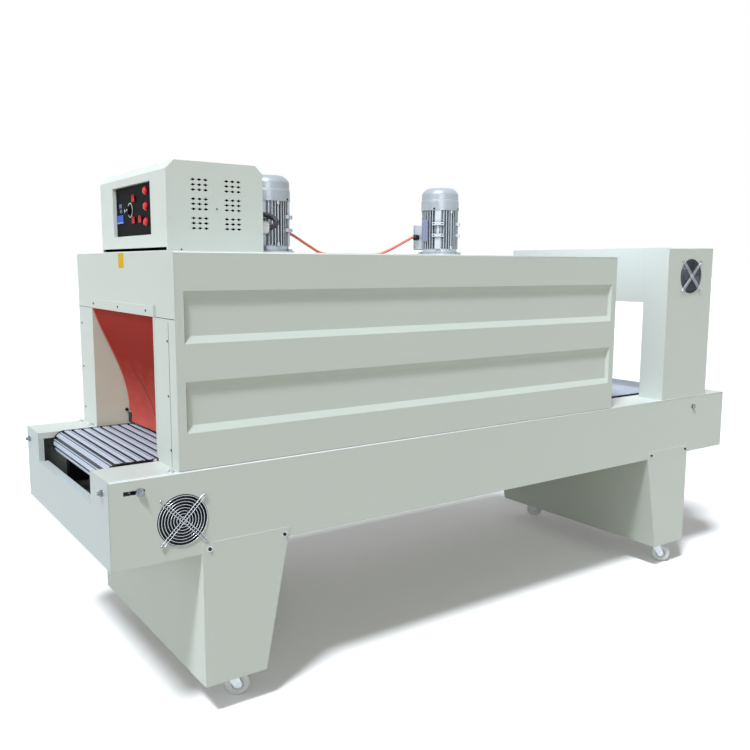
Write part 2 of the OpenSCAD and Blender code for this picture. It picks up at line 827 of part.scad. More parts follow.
// Side view of the box inset by a wall, from its front lower corner
function box_outline(wall) = let (k = wall * (sqrt(2) - 1)) [
    [wall, 0],
    [wall, box_h - box_chamfer - k],
    [box_chamfer + k, box_h - wall],
    [box_len - box_chamfer - k, box_h - wall],
    [box_len - wall, box_h - box_chamfer - k],
    [box_len - wall, 0]];

module control_hood() {
    half = box_w / 2 - sheet;
    color(paint) translate([box_x, 0, roof_z]) {
        difference() {
            across(-half, half) polygon(box_outline(0));
            across(-half - 1, half + 1) polygon(box_outline(sheet));
            translate([sheet, -half - 1, -1]) cube([box_len - 2 * sheet, 2 * half + 2, 2]);
            translate([-1, -half + box_lip, box_lip])
                cube([sheet + 2, 2 * (half - box_lip), box_gap - box_lip]);
            translate([-1, -window_w / 2, window_sill]) cube([sheet + 2, window_w, window_h]);
        }
        translate([0, -window_w / 2, window_sill]) difference() {
            translate([0, -sheet, -sheet])
                cube([window_recess, window_w + 2 * sheet, window_h + 2 * sheet]);
            translate([-1, 0, 0]) cube([window_recess + 2, window_w, window_h]);
        }
    }
}

// A vent: a four-pointed star, long along the box
module vent() {
    a = vent_len / 2;
    b = vent_h / 2;
    c = vent_len / 6;
    d = vent_h / 4;
    polygon([[a, 0], [c, d], [0, b], [-c, d], [-a, 0], [-c, -d], [0, -b], [c, -d]]);
}

// Vents: two columns of three groups, each three by three
module vent_cuts() {
    column_x = [99, 202];
    row_z = [190, 136, 82];
    pitch_x = 19;
    pitch_z = 14.2;
    across(-sheet, 2 * sheet) for (x = column_x) for (z = row_z) for (i = [-1 : 1]) for (k = [-1 : 1])
        translate([x + i * pitch_x, z + k * pitch_z]) vent();
}

module control_sides() {
    color(paint) for (side = [-1, 1]) on_side(side)
        translate([box_x, -box_w / 2, roof_z]) difference() {
            across(0, sheet) polygon(box_outline(0));
            vent_cuts();
        }
}

module on_panel(place) {
    translate([panel_x, place[0], panel_z + place[1]]) children();
}

module control_panel() {
    margin = panel_margin;
    color(black) difference() {
        translate([panel_x, -window_w / 2 - margin, panel_z - margin])
            cube([panel_t, window_w + 2 * margin, window_h + 2 * margin]);
        for (place = concat(selector_places, [dial_place]))
            on_panel(place) rod_x(spindle_d + 2 * pin_fit, -1, panel_t + 1);
    }
}

module signal_lamps() {
    rim = 2;
    dome = lamp_h - rim;
    color(knob_red) for (place = lamp_places) on_panel(place) rotate([0, -90, 0]) rotate_extrude()
        polygon(concat([[0, 0], [lamp_d / 2, 0], [lamp_d / 2, rim]],
            [for (a = [0 : 15 : 90]) [(lamp_d / 2 - 1) * cos(a), rim + dome * sin(a)]]));
}

// A pointer knob: a round skirt, a grip that narrows to its point and a spindle through the panel
module selector() {
    skirt = 3;
    foot_w = selector_d * 0.36;
    tip_w = selector_d * 0.08;
    heel = -selector_d * 0.46;
    tip = selector_d * 0.62;
    translate([-face_fit, 0, 0]) {
        rod_x(selector_d, -skirt, 0);
        rotate([90, 0, -90]) linear_extrude(height = selector_h) polygon([
            [-foot_w, heel], [foot_w, heel], [foot_w, 0],
            [tip_w, tip], [-tip_w, tip], [-foot_w, 0]]);
    }
    rod_x(spindle_d, -face_fit - 1, panel_t + 2);
}

module selector_at(i) color(knob_red) on_panel(selector_places[i]) selector();

module dial_knob() {
    flutes = 16;
    color(black) on_panel(dial_place) {
        difference() {
            translate([-face_fit, 0, 0]) rod_x(dial_d, -dial_h, 0);
            for (i = [0 : flutes - 1]) rotate([i * 360 / flutes, 0, 0])
                translate([0, dial_d / 2 + 0.6, 0]) rod_x(3, -dial_h - 1, -2);
        }
        rod_x(spindle_d, -face_fit - 1, panel_t + 2);
    }
}

// Motors, drawn with the axis at X = Y = 0 and the roof at Z = 0

// Cross-section of the finned barrel
module fin_profile() {
    root = fin_d / 2 - fin_depth;
    step = 360 / fin_count;
    half_tip = asin(fin_t / fin_d);
    half_root = asin(fin_t / 2 / root);
    polygon([for (i = [0 : fin_count - 1]) let (a = i * step) each [
        root * [cos(a - half_root), sin(a - half_root)],
        fin_d / 2 * [cos(a - half_tip), sin(a - half_tip)],
        fin_d / 2 * [cos(a + half_tip), sin(a + half_tip)],
        root * [cos(a + half_root), sin(a + half_root)]]]);
}

// Foot pads on three sides of the barrel: a flat rib with two drilled lugs across it
module foot_pads() {
    root = fin_d / 2 - fin_depth;
    rib_w = 22;
    waist_w = 12;
    lug_w = 46;
    lug_t = 12;
    reach = fin_d / 2 + 7;
    hole_d = 6;
    lug_z = [terminal_z - 1, terminal_z + 43];
    rib_d = fin_d / 2 - root + 2.5;
    for (a = [-90, 0, 90]) rotate(a) {
        translate([root - 2, -waist_w / 2, fin_z1 + 1]) cube([rib_d, waist_w, cowl_z - fin_z1 - 2]);
        for (z = [[fin_z1, lug_z[0] + lug_t / 2], [lug_z[1] + lug_t / 2, cowl_z]])
            translate([root - 2, -rib_w / 2, z[0]]) cube([rib_d, rib_w, z[1] - z[0]]);
        for (z = lug_z) translate([root - 4, -lug_w / 2, z]) difference() {
            cube([reach - root + 4, lug_w, lug_t]);
            for (y = [7, lug_w - 7]) translate([0, y, lug_t / 2])
                rod_x(hole_d, (reach - root + 4) / 2, reach);
        }
    }
}

// Tie bolts midway between the foot pads, with a boss at each end
module tie_bolts() {
    boss_d = 11;
    boss_h = 12;
    rod_d = 6;
    for (a = [-45, 45]) rotate(a) translate([fin_d / 2 - 3, 0, 0]) {
        translate([0, 0, fin_z1 - 1]) cylinder(d = boss_d, h = boss_h);
        translate([0, 0, cowl_z - boss_h]) cylinder(d = boss_d, h = boss_h);
        translate([0, 0, fin_z1]) cylinder(d = rod_d, h = cowl_z - fin_z1);
    }
}

// Bolts that hold the flange to the roof
module flange_bolts() {
    for (a = [0, 90, 180, 270]) rotate(a) translate([flange_d / 2 - 10, 0, flange_t - 1])
        cylinder(d = 15, h = 8, $fn = 6);
}

module motor() {
    cylinder(d = flange_d, h = flange_t);
    cylinder(d = fin_d - 8, h = fin_z1 + 0.5);
    translate([0, 0, fin_z1]) linear_extrude(height = cowl_z - fin_z1) fin_profile();
    foot_pads();
    tie_bolts();
    flange_bolts();
}

// Terminal box with its lid, drawn on the motor's -X side
module terminal_box() {
    root = fin_d / 2 - fin_depth;
    lid_t = 6;
    lid_edge = 2;
    translate([-terminal_reach + 1, -terminal_w / 2, terminal_z - terminal_h / 2])
        cube([terminal_reach - root + 3, terminal_w, terminal_h]);
    translate([-terminal_reach, -terminal_w / 2 - lid_edge, terminal_z - terminal_h / 2 - lid_edge])
        cube([lid_t, terminal_w + 2 * lid_edge, terminal_h + 2 * lid_edge]);
}

module at_motor(x) translate([x, 0, roof_z]) rotate(motor_turn) children();

module at_terminal(x) translate([x, 0, roof_z]) rotate(terminal_turn) children();

module motor_infeed() {
    color(alloy) union() {
        at_motor(motor_x1) motor();
        at_terminal(motor_x1) terminal_box();
    }
}

module motor_outfeed() {
    color(alloy) union() {
        at_motor(motor_x2) motor();
        at_terminal(motor_x2) terminal_box();
    }
}

// Fan cowl: a wide lower band, a step in to the upper band, a rounded shoulder and a flat top
module cowl() {
    top_r = cowl_d / 2 - 27;
    shoulder = 24;
    step_in = 2;
    step_h = 8;
    step_z = motor_h - 52;
    upper_r = cowl_d / 2 - step_in;
    rotate_extrude() polygon(concat(
        [[0, cowl_z], [cowl_d / 2, cowl_z], [cowl_d / 2, step_z], [upper_r, step_z + step_h]],
        [for (a = [0 : 15 : 90]) [
            top_r + (upper_r - top_r) * pow(cos(a), 1.35),
            motor_h - shoulder + shoulder * pow(sin(a), 1.35)]],
        [[0, motor_h]]));
}

module motor_cowls() color(alloy) for (x = [motor_x1, motor_x2]) at_motor(x) cowl();

// A cable gland on a side face of a terminal box: a collar and a domed nut
module gland(side) {
    r = gland_d / 2;
    collar = gland_len - r;
    on_side(side) translate([-terminal_r, -terminal_w / 2, terminal_z]) rotate([90, 0, 0]) rotate_extrude()
        polygon(concat(
            [[0, 0], [r - 1.5, 0], [r - 1.5, collar]],
            [for (a = [0 : 15 : 60]) [r * cos(a), collar + r * sin(a)]],
            [[r * 0.4, gland_len], [0, gland_len]]));
}

module cable_glands() {
    color(black) {
        at_terminal(motor_x1) gland(1);
        at_terminal(motor_x1) gland(-1);
        at_terminal(motor_x2) gland(-1);
    }
}

module conduit_gland() {
    color("white") translate([box_x + box_len, conduit_gland_y, conduit_gland_z]) {
        rod_x(conduit_gland_d, 0, 12);
        rod_x(conduit_gland_d - 6, 11, conduit_gland_len);
    }
}

module motor_cable() color("coral") tube(cable_route, cable_d, 10);

module conduit() color([0.25, 0.26, 0.3]) tube(conduit_route, conduit_d, 10);

// Fans, drawn with the axis along Y, the wall's outer face at Y = 0 and the inside at +Y

module at_fan(i) {
    place = fan_places[i][0];
    on_side(fan_places[i][1]) translate([place[0], -place[1], place[2]]) children();
}

// Wire guard: rings behind two crossed pairs of wires that end in fixing lugs on the wall
module fan_guard() {
    reach = lug_spacing / sqrt(2);
    pair = 9;
    ring_y = -2 * wire + 0.8;
    lug_d = pair + wire;
    outer_r = guard_rings * ring_pitch + 3;
    rotate([-90, 0, 0]) for (i = [0 : guard_rings - 1]) translate([0, 0, ring_y]) difference() {
        cylinder(r = outer_r - i * ring_pitch, h = wire);
        translate([0, 0, -1]) cylinder(r = outer_r - i * ring_pitch - wire, h = wire + 2);
    }
    for (a = [45, 135]) rotate([0, a, 0]) for (k = [-1, 1])
        translate([-reach, ring_y - wire + 0.8, k * pair / 2 - wire / 2]) cube([2 * reach, wire, wire]);
    for (a = [45, 135, 225, 315]) rotate([0, a, 0]) translate([reach, 0, 0])
        rod_y(lug_d, ring_y - wire + 0.8, 0);
}

module fan_guards() color("silver") for (i = [0 : 3]) at_fan(i) fan_guard();

hub_len = 12;
hub_y = sheet + fan_depth - hub_len;

// Frame: a square body with a round duct, and a motor hub on four arms at its back
module fan_frame() {
    arm = 8;
    difference() {
        translate([-fan_size / 2, sheet, -fan_size / 2]) cube([fan_size, fan_depth, fan_size]);
        rod_y(fan_hole_d, 0, sheet + fan_depth + 1);
    }
    for (a = [0, 90]) rotate([0, a, 0])
        translate([-fan_hole_d / 2 - 1, sheet + fan_depth - 5, -arm / 2]) cube([fan_hole_d + 2, 5, arm]);
    rod_y(hub_d, hub_y, sheet + fan_depth);
    rod_y(fan_pin_d, hub_y - 16, hub_y + 1);
}

module fan_frames() color(black) for (i = [0 : 3]) at_fan(i) fan_frame();

// Rotor: a hub on the frame's pin, with pitched blades
module fan_rotor() {
    tip_r = fan_hole_d / 2 - 5;
    rotor_y1 = sheet + 4;
    rotor_y2 = hub_y - face_fit;
    chord = (rotor_y2 - rotor_y1 - 2) / sin(blade_pitch);
    blade_t = 2;
    difference() {
        rod_y(hub_d, rotor_y1, rotor_y2);
        rod_y(fan_pin_d + 2 * pin_fit, hub_y - 16 - face_fit, hub_y);
    }
    intersection() {
        difference() {
            rod_y(2 * tip_r, rotor_y1, rotor_y2);
            rod_y(hub_d - 2, rotor_y1 - 1, rotor_y2 + 1);
        }
        for (i = [0 : blade_count - 1]) rotate([0, i * 360 / blade_count, 0])
            translate([0, (rotor_y1 + rotor_y2) / 2, 0]) rotate([blade_pitch, 0, 0])
                translate([hub_d / 2 - 3, -blade_t / 2, -chord / 2])
                    cube([tip_r, blade_t, chord]);
    }
}

module fan_rotor_at(i) color([0.35, 0.36, 0.38]) at_fan(i) fan_rotor();

bed_side_near();
bed_side_far();
bed_end_infeed();
bed_end_outfeed();
bed_floor();
leg_infeed();
leg_outfeed();
caster_plates();
caster_fork_at(0);  // caster_fork_1
caster_fork_at(1);  // caster_fork_2
caster_fork_at(2);  // caster_fork_3
caster_fork_at(3);  // caster_fork_4
caster_wheel_at(0);  // caster_wheel_1
caster_wheel_at(1);  // caster_wheel_2
caster_wheel_at(2);  // caster_wheel_3
caster_wheel_at(3);  // caster_wheel_4
mesh_belt();
belt_rollers();
takeup_screws();
tunnel_side_near();
tunnel_side_far();
tunnel_inner_walls();
tunnel_roof();
tunnel_end_plates();
tunnel_post_covers();
curtain_strips();
curtain_infeed();
curtain_outfeed();
control_hood();
control_sides();
control_panel();
signal_lamps();
selector_at(0);  // selector_1
selector_at(1);  // selector_2
selector_at(2);  // selector_3
dial_knob();
motor_infeed();
motor_outfeed();
motor_cowls();
cable_glands();
conduit_gland();
motor_cable();
conduit();
arch_post_near();
arch_post_far();
arch_beam();
fan_guards();
fan_frames();
fan_rotor_at(0);  // fan_rotor_1
fan_rotor_at(1);  // fan_rotor_2
fan_rotor_at(2);  // fan_rotor_3
fan_rotor_at(3);  // fan_rotor_4
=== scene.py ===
# A heat shrink tunnel: a mesh-belt conveyor that carries wrapped goods through a heated tunnel and
# under a cooling arch. Dressed from the studio and the sheet metal upwards, in metres, +X along the
# belt from infeed to outfeed, the near side at -Y.

import json
import math

import bmesh
import bpy
from mathutils import Matrix, Vector


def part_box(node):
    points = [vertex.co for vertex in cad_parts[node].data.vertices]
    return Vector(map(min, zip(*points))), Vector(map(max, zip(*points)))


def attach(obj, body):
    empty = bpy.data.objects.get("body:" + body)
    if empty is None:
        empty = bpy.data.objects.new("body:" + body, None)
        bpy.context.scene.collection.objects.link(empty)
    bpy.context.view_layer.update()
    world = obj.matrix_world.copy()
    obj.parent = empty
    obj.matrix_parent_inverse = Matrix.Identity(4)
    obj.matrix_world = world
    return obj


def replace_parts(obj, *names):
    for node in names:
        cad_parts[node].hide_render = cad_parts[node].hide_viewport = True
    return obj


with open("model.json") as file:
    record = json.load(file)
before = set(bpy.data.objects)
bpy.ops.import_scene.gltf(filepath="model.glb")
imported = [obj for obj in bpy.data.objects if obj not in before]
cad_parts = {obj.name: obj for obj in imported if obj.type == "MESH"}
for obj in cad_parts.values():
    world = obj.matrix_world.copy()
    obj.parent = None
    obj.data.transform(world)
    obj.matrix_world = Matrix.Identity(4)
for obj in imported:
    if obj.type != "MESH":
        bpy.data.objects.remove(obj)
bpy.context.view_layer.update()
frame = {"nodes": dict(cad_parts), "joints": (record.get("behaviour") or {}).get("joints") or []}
cad = frame["nodes"]

# Studio. A pale floor and an even white surround, as in a product photograph. A strong light stands
# above, in front and to the left, with a weak low one at the left and a wide fill in front.


def srgb(code):
    """Linear colour from a hex code."""
    parts = [int(code[i:i + 2], 16) / 255 for i in (0, 2, 4)]
    return [c / 12.92 if c <= 0.04045 else ((c + 0.055) / 1.055) ** 2.4 for c in parts] + [1.0]


def material(name, colour, roughness, metallic=0.0, ior=1.5):
    """A new material with one surface shader."""
    mat = bpy.data.materials.new(name)
    mat.use_nodes = True
    surface = mat.node_tree.nodes["Principled BSDF"]
    surface.inputs["Base Color"].default_value = srgb(colour)
    surface.inputs["Roughness"].default_value = roughness
    surface.inputs["Metallic"].default_value = metallic
    surface.inputs["IOR"].default_value = ior
    return mat


def put(mat, kind, inputs=(), **settings):
    """Adds a shader node with its settings; an input is a value or the output it is linked from."""
    made = mat.node_tree.nodes.new(kind)
    for key, value in settings.items():
        setattr(made, key, value)
    for key, value in dict(inputs).items():
        if isinstance(value, bpy.types.NodeSocket):
            mat.node_tree.links.new(value, made.inputs[key])
        else:
            made.inputs[key].default_value = value
    return made


def feed(mat, key, output):
    """Links an output to an input of the material's surface shader."""
    mat.node_tree.links.new(output, mat.node_tree.nodes["Principled BSDF"].inputs[key])


# The floor is matt board, white where it is looked at or mirrored, and a warm grey in the light that it
# throws back under the machine. A faint glow keeps it white up to the edge of the shadow.
floor_mat = material("studio floor", "F4F4F4", 0.9)
path = put(floor_mat, "ShaderNodeLightPath").outputs
seen = put(floor_mat, "ShaderNodeMath", {
    0: path["Is Camera Ray"], 1: path["Is Glossy Ray"]}, operation="MAXIMUM")
shade = put(floor_mat, "ShaderNodeMix", {"Factor": seen.outputs["Value"]}, data_type="RGBA")
shade.inputs["A"].default_value = srgb("A8A494")
shade.inputs["B"].default_value = srgb("F4F4F4")
feed(floor_mat, "Base Color", shade.outputs["Result"])
floor_glow = 0.08
glow = put(floor_mat, "ShaderNodeMath", {
    0: seen.outputs["Value"], 1: floor_glow}, operation="MULTIPLY")
feed(floor_mat, "Emission Strength", glow.outputs["Value"])
board = floor_mat.node_tree.nodes["Principled BSDF"]
board.inputs["Emission Color"].default_value = srgb("FFFFFF")
board.inputs["Specular IOR Level"].default_value = 0.0
bpy.ops.mesh.primitive_plane_add(size=200, location=(0, 0, 0))
floor = bpy.context.object
floor.name = "floor"
floor.data.materials.append(floor_mat)

# The surround is white to the eye and in mirrors, and a soft even light on the machine.
world = bpy.data.worlds.new("white surround")
bpy.context.scene.world = world
world.use_nodes = True
path = put(world, "ShaderNodeLightPath").outputs
seen = put(world, "ShaderNodeMath", {
    0: path["Is Camera Ray"], 1: path["Is Glossy Ray"]}, operation="MAXIMUM")
seen = put(world, "ShaderNodeMath", {
    0: seen.outputs["Value"], 1: path["Is Transmission Ray"]}, operation="MAXIMUM")
soft_light = 0.31
level = put(world, "ShaderNodeMapRange", {
    "Value": seen.outputs["Value"], "To Min": soft_light, "To Max": 1.0})
backdrop = world.node_tree.nodes["Background"]
backdrop.inputs["Color"].default_value = srgb("FFFFFF")
world.node_tree.links.new(level.outputs["Result"], backdrop.inputs["Strength"])


def sun(name, way, level, softness, colour):
    """A distant lamp that shines from a direction; at level 1 a white sheet square to it is white."""
    lamp = bpy.data.lights.new(name, "SUN")
    lamp.energy = level * math.pi
    lamp.angle = math.radians(softness)
    lamp.color = srgb(colour)[:3]
    obj = bpy.data.objects.new(name, lamp)
    obj.rotation_euler = Vector(way).to_track_quat("Z", "Y").to_euler()
    bpy.context.collection.objects.link(obj)


sun("key light", (-0.50, -0.30, 1.0), 1.06, 9, "F4F9FF")
sun("window", (-0.95, -0.10, 0.30), 0.14, 30, "EEF5FF")
sun("front fill", (-0.50, -0.85, 0.25), 0.21, 25, "FFFFFF")

# A soft lamp over the tunnel's roof, kept out of mirrors, lights the cooling arch, which the tunnel
# shades.
lamp = bpy.data.lights.new("arch lamp", "AREA")
lamp.size = 0.5
lamp.energy = 5
lamp.spread = math.radians(100)
lamp.color = srgb("E6EEFF")[:3]
arch_lamp = bpy.data.objects.new("arch lamp", lamp)
arch_lamp.location = (0.35, -0.10, 2.30)
arch_lamp.rotation_euler = Vector((-0.60, 0.0, 1.10)).to_track_quat("Z", "Y").to_euler()
bpy.context.collection.objects.link(arch_lamp)
arch_lamp.visible_glossy = False

bpy.context.scene.view_settings.view_transform = "Standard"

# Camera, matched to the photograph's perspective.
camera = bpy.data.objects.new("camera", bpy.data.cameras.new("camera"))
bpy.context.collection.objects.link(camera)
camera.data.sensor_width = 36
camera.data.lens = 38.814
turn, tilt, roll = -0.612805, 0.134046, 0.003984
camera.matrix_world = (
    Matrix.Translation((-1.98038, -2.51276, 1.29605))
    @ Matrix.Rotation(turn, 4, "Z")
    @ Matrix.Rotation(math.pi / 2 - tilt, 4, "X")
    @ Matrix.Rotation(roll, 4, "Z")
)
bpy.context.scene.camera = camera

# Sheet metal. Bed, legs, tunnel, arch and control box are folded steel sheet, spot-welded and screwed,
# with a pale grey powder coat. The coat is satin, with a fine orange peel, slightly rounded folds and
# slow changes of tone. The control box is drawn in a lighter copy of it, as painted light, and the
# infeed end in a darker one, as painted shade.


def grain(mat, size, depth, edge=0.0, strength=0.3):
    """Surface grain of a real size, over edges that are slightly rounded."""
    place = put(mat, "ShaderNodeTexCoord").outputs["Object"]
    noise = put(mat, "ShaderNodeTexNoise", {"Vector": place, "Scale": 1 / size, "Detail": 2.0})
    inputs = {"Height": noise.outputs["Fac"], "Strength": strength, "Distance": depth}
    if edge:
        inputs["Normal"] = put(mat, "ShaderNodeBevel", {"Radius": edge}, samples=4).outputs["Normal"]
    feed(mat, "Normal", put(mat, "ShaderNodeBump", inputs).outputs["Normal"])


def mottle(mat, size, low, high, key="Base Color"):
    """Slow variation of a colour or a value over patches of a real size."""
    place = put(mat, "ShaderNodeTexCoord").outputs["Object"]
    noise = put(mat, "ShaderNodeTexNoise", {"Vector": place, "Scale": 1 / size, "Detail": 3.0})
    if key == "Base Color":
        blend = put(mat, "ShaderNodeMix", {"Factor": noise.outputs["Fac"]}, data_type="RGBA")
        blend.inputs["A"].default_value = srgb(low)
        blend.inputs["B"].default_value = srgb(high)
        feed(mat, key, blend.outputs["Result"])
    else:
        span = put(mat, "ShaderNodeMapRange", {
            "Value": noise.outputs["Fac"], "To Min": low, "To Max": high})
        feed(mat, key, span.outputs["Result"])


peel, peel_depth, fold_edge = 0.0016, 0.0002, 0.0015
paint = material("pale grey powder coat", "C0C8C2", 0.42)
grain(paint, peel, peel_depth, edge=fold_edge)
mottle(paint, 0.6, "BEC6C0", "C3CBC5")
mottle(paint, 0.11, 0.38, 0.47, "Roughness")


def coat(mat, *names):
    """Gives CAD nodes a material; a name may end in a star."""
    for name, obj in cad.items():
        if any(name == n or (n.endswith("*") and name.startswith(n[:-1])) for n in names):
            obj.data.materials.clear()
            obj.data.materials.append(mat)


coat(paint, "bed_*", "leg_*", "tunnel_*", "arch_*", "curtain_strips")
# A lighter copy of the coat for the control box: painted light.
lit_coat = material("powder coat with painted light", "CCD4CF", 0.42)
grain(lit_coat, peel, peel_depth, edge=fold_edge)
mottle(lit_coat, 0.3, "C9D1CC", "CFD7D2")
coat(lit_coat, "control_hood", "control_sides")
# A darker copy of the coat for the bed's infeed end: painted shade.
shaded_coat = material("powder coat with painted shade", "B2BBBC", 0.45)
grain(shaded_coat, peel, peel_depth, edge=fold_edge)
mottle(shaded_coat, 0.4, "AEB8B9", "B6BFBF")
coat(shaded_coat, "bed_end_infeed")


def piece(name, mesh_of, mat, body="machine", smooth=False):
    """An object from a bmesh, with one material, that moves with a CAD body."""
    bmesh.ops.recalc_face_normals(mesh_of, faces=mesh_of.faces)
    data = bpy.data.meshes.new(name)
    mesh_of.to_mesh(data)
    mesh_of.free()
    data.materials.append(mat)
    if smooth:
        data.shade_smooth()
    obj = bpy.data.objects.new(name, data)
    bpy.context.collection.objects.link(obj)
    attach(obj, body)
    return obj


def tube(bm, points, radius, sides=8, closed=False):
    """Adds a round tube along points; the radius may be one for each point."""
    points = [Vector(p) for p in points]
    count = len(points)
    radii = radius if isinstance(radius, list) else [radius] * count
    side = None
    rings = []
    for i, p in enumerate(points):
        after = points[(i + 1) % count] if closed else points[min(i + 1, count - 1)]
        before = points[i - 1] if closed else points[max(i - 1, 0)]
        way = (after - before).normalized()
        side = (side - way * side.dot(way) if side else way.orthogonal()).normalized()
        up = way.cross(side)
        rings.append([bm.verts.new(p + radii[i] * (math.cos(a) * side + math.sin(a) * up))
                      for a in (math.tau * n / sides for n in range(sides))])
    for i in range(count if closed else count - 1):
        a, b = rings[i], rings[(i + 1) % count]
        for n in range(sides):
            m = (n + 1) % sides
            bm.faces.new((a[n], a[m], b[m], b[n]))
    if not closed:
        bm.faces.new(rings[0][::-1])
        bm.faces.new(rings[-1])


bed_lo, bed_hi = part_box("bed_side_near")
side_lo, side_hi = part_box("tunnel_side_near")
arch_lo, arch_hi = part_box("arch_post_near")
mouth_lo, mouth_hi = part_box("tunnel_post_covers")
front_x = side_lo.x
roof_z = side_hi.z
bed_top = bed_hi.z
passage_z = mouth_hi.z

# Folds. Those along the long upper edges are rounder than the rest, and are drawn in a paler coat as a
# painted highlight, so that they catch the light as a thin bright line.
highlight_coat = material("coat with painted highlight", "E8EEF0", 0.35)
mottle(highlight_coat, 0.15, "DEE6E8", "F0F4F6")
folds = bmesh.new()
fold_r = 0.0032
bead = 0.0005
for lo, hi in ((bed_lo, bed_hi), (side_lo, side_hi), (arch_lo, arch_hi)):
    for side in (-1, 1):
        y = side * (abs(lo.y) - fold_r + bead)
        tube(folds, [(x, y, hi.z - fold_r + bead) for x in (lo.x + 0.001, hi.x - 0.001)], fold_r, 16)
piece("rounded_folds", folds, highlight_coat, smooth=True)

# Panel joints. The gaps between the tunnel's front panels show as thin dark lines, and the tunnel stands
# on a black rubber gasket, of which only the edge is seen.


def loft(bm, loops):
    """Adds a closed solid through loops of points, each with as many points as the last."""
    rings = [[bm.verts.new(p) for p in loop] for loop in loops]
    bm.faces.new(rings[0][::-1])
    bm.faces.new(rings[-1])
    for a, b in zip(rings, rings[1:]):
        for i in range(len(a)):
            j = (i + 1) % len(a)
            bm.faces.new((a[i], a[j], b[j], b[i]))


def slab(bm, lo, hi):
    """Adds a rectangular block between two corners."""
    base = [(lo[0], lo[1]), (hi[0], lo[1]), (hi[0], hi[1]), (lo[0], hi[1])]
    loft(bm, [[(x, y, z) for x, y in base] for z in (lo[2], hi[2])])


joints = bmesh.new()
line = 0.0007
proud = 0.0004
front_panels = ((-0.4545, -0.3005), (0.3005, 0.4545))
for y1, y2 in front_panels:
    slab(joints, (front_x - proud, y1, passage_z - line), (front_x, y2, passage_z + line))
cover_y = -0.405
slab(joints, (front_x - proud, cover_y - line, bed_top + 0.004),
     (front_x, cover_y + line, passage_z - 0.010))
clamp_end = (-0.3095, -0.3075)
slab(joints, (front_x - proud, clamp_end[0], passage_z + 0.002),
     (front_x, clamp_end[1], passage_z + 0.034))
for side in (-1, 1):
    y = side * abs(side_lo.y)
    slab(joints, (front_x, y - proud, bed_top + 0.0002), (side_hi.x, y + proud, bed_top + 0.0014))
gasket = material("black gasket", "1B1C1E", 0.7)
mottle(gasket, 0.05, "17181A", "222326")
piece("panel_joints", joints, gasket)

# Mouth trim. A narrow strip of the same coated sheet, folded round the near post's edge.
trim = bmesh.new()
trim_y = (mouth_lo.y + 0.1055, mouth_lo.y + 0.1135)
slab(trim, (front_x - 0.0015, trim_y[0], bed_top + 0.012),
     (front_x + 0.001, trim_y[1], passage_z - 0.001))
piece("mouth_trim", trim, paint)

# Screws. Black oxide ones hold the leg tabs, on plated washers, and the posts, the curtain's clamp strip
# and the control box. Plated hexagon heads, gathered here too, stand on the bed's top at the posts' feet.


def lathe(bm, place, way, profile, sides=16):
    """Adds a turned solid from radius and height pairs, or a ring where they stay off the axis."""
    axis = Vector(way).normalized()
    side = axis.orthogonal().normalized()
    up = axis.cross(side)
    rings = []
    for r, h in profile:
        turns = sides if r else 1
        rings.append([bm.verts.new(Vector(place) + axis * h
                                   + r * (math.cos(a) * side + math.sin(a) * up))
                      for a in (math.tau * n / turns for n in range(turns))])
    for a, b in zip(rings, rings[1:] + ([] if len(rings[0]) == 1 else rings[:1])):
        for n in range(sides):
            m = (n + 1) % sides
            corners = (a[n % len(a)], a[m % len(a)], b[m % len(b)], b[n % len(b)])
            bm.faces.new(dict.fromkeys(corners))


def screw(bm, place, way, size):
    """Adds a low domed screw head."""
    r = size / 2
    head = [(0, -r / 2), (r, -r / 2), (r, 0.25 * r), (0.75 * r, 0.6 * r), (0, 0.7 * r)]
    lathe(bm, place, way, head, 12)


def stud(bm, place, way, radius, foot, top, sides=24):
    """Adds a plain round disc or pin between two heights."""
    lathe(bm, place, way, [(0, foot), (radius, foot), (radius, top), (0, top)], sides)


dark_screws = bmesh.new()
pale_screws = bmesh.new()
tab_y = 0.459
tab_bolts = ((-1.101, 0.506), (-0.8634, 0.504), (0.8875, 0.509), (1.1215, 0.509))
for x, z in tab_bolts:
    for side in (-1, 1):
        place, way = (x, side * tab_y, z), (0, side, 0)
        stud(pale_screws, place, way, 0.009, -0.001, 0.001)
        lathe(dark_screws, place, way, [(0, 0), (0.0058, 0), (0.0054, 0.0045), (0, 0.0048)], 6)
post_screws = ((0.427, 1.093), (0.428, 0.938), (0.426, 0.792),
               (-0.396, 1.091), (-0.393, 0.939), (-0.4005, 0.789))
for y, z in post_screws:
    screw(dark_screws, (front_x, y, z), (-1, 0, 0), 0.0065)
for y in (0.2700, 0.0130, -0.2400):
    screw(dark_screws, (front_x - 0.003, y, passage_z + 0.0150), (-1, 0, 0), 0.0070)
passage_bolt = (-1.0770, 0.299, 0.790)
screw(dark_screws, passage_bolt, (0, -1, 0), 0.012)
box_side_y = -0.300
for x, z in ((-0.986, 1.457), (-1.0965, 1.3405)):
    screw(dark_screws, (x, box_side_y, z), (0, -1, 0), 0.0050)
for x in (-1.0805, -0.8925):
    screw(dark_screws, (x, -0.286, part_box("control_hood")[1].z), (0, 0, 1), 0.0060)
foot_bolts = ((-1.1996, -0.4386), (-1.1886, -0.2888), (-1.1899, 0.3438), (-1.1990, 0.4386))
for x, y in foot_bolts:
    stud(pale_screws, (x, y, bed_top), (0, 0, 1), 0.010, 0, 0.0012)
    hexagon = [(0, 0), (0.0065, 0), (0.0060, 0.0062), (0, 0.0066)]
    lathe(pale_screws, (x, y, bed_top), (0, 0, 1), hexagon, 6)
black_oxide = material("black-oxide steel", "141416", 0.35, metallic=0.4)
grain(black_oxide, 0.001, 0.0001)
piece("black_screws", dark_screws, black_oxide)

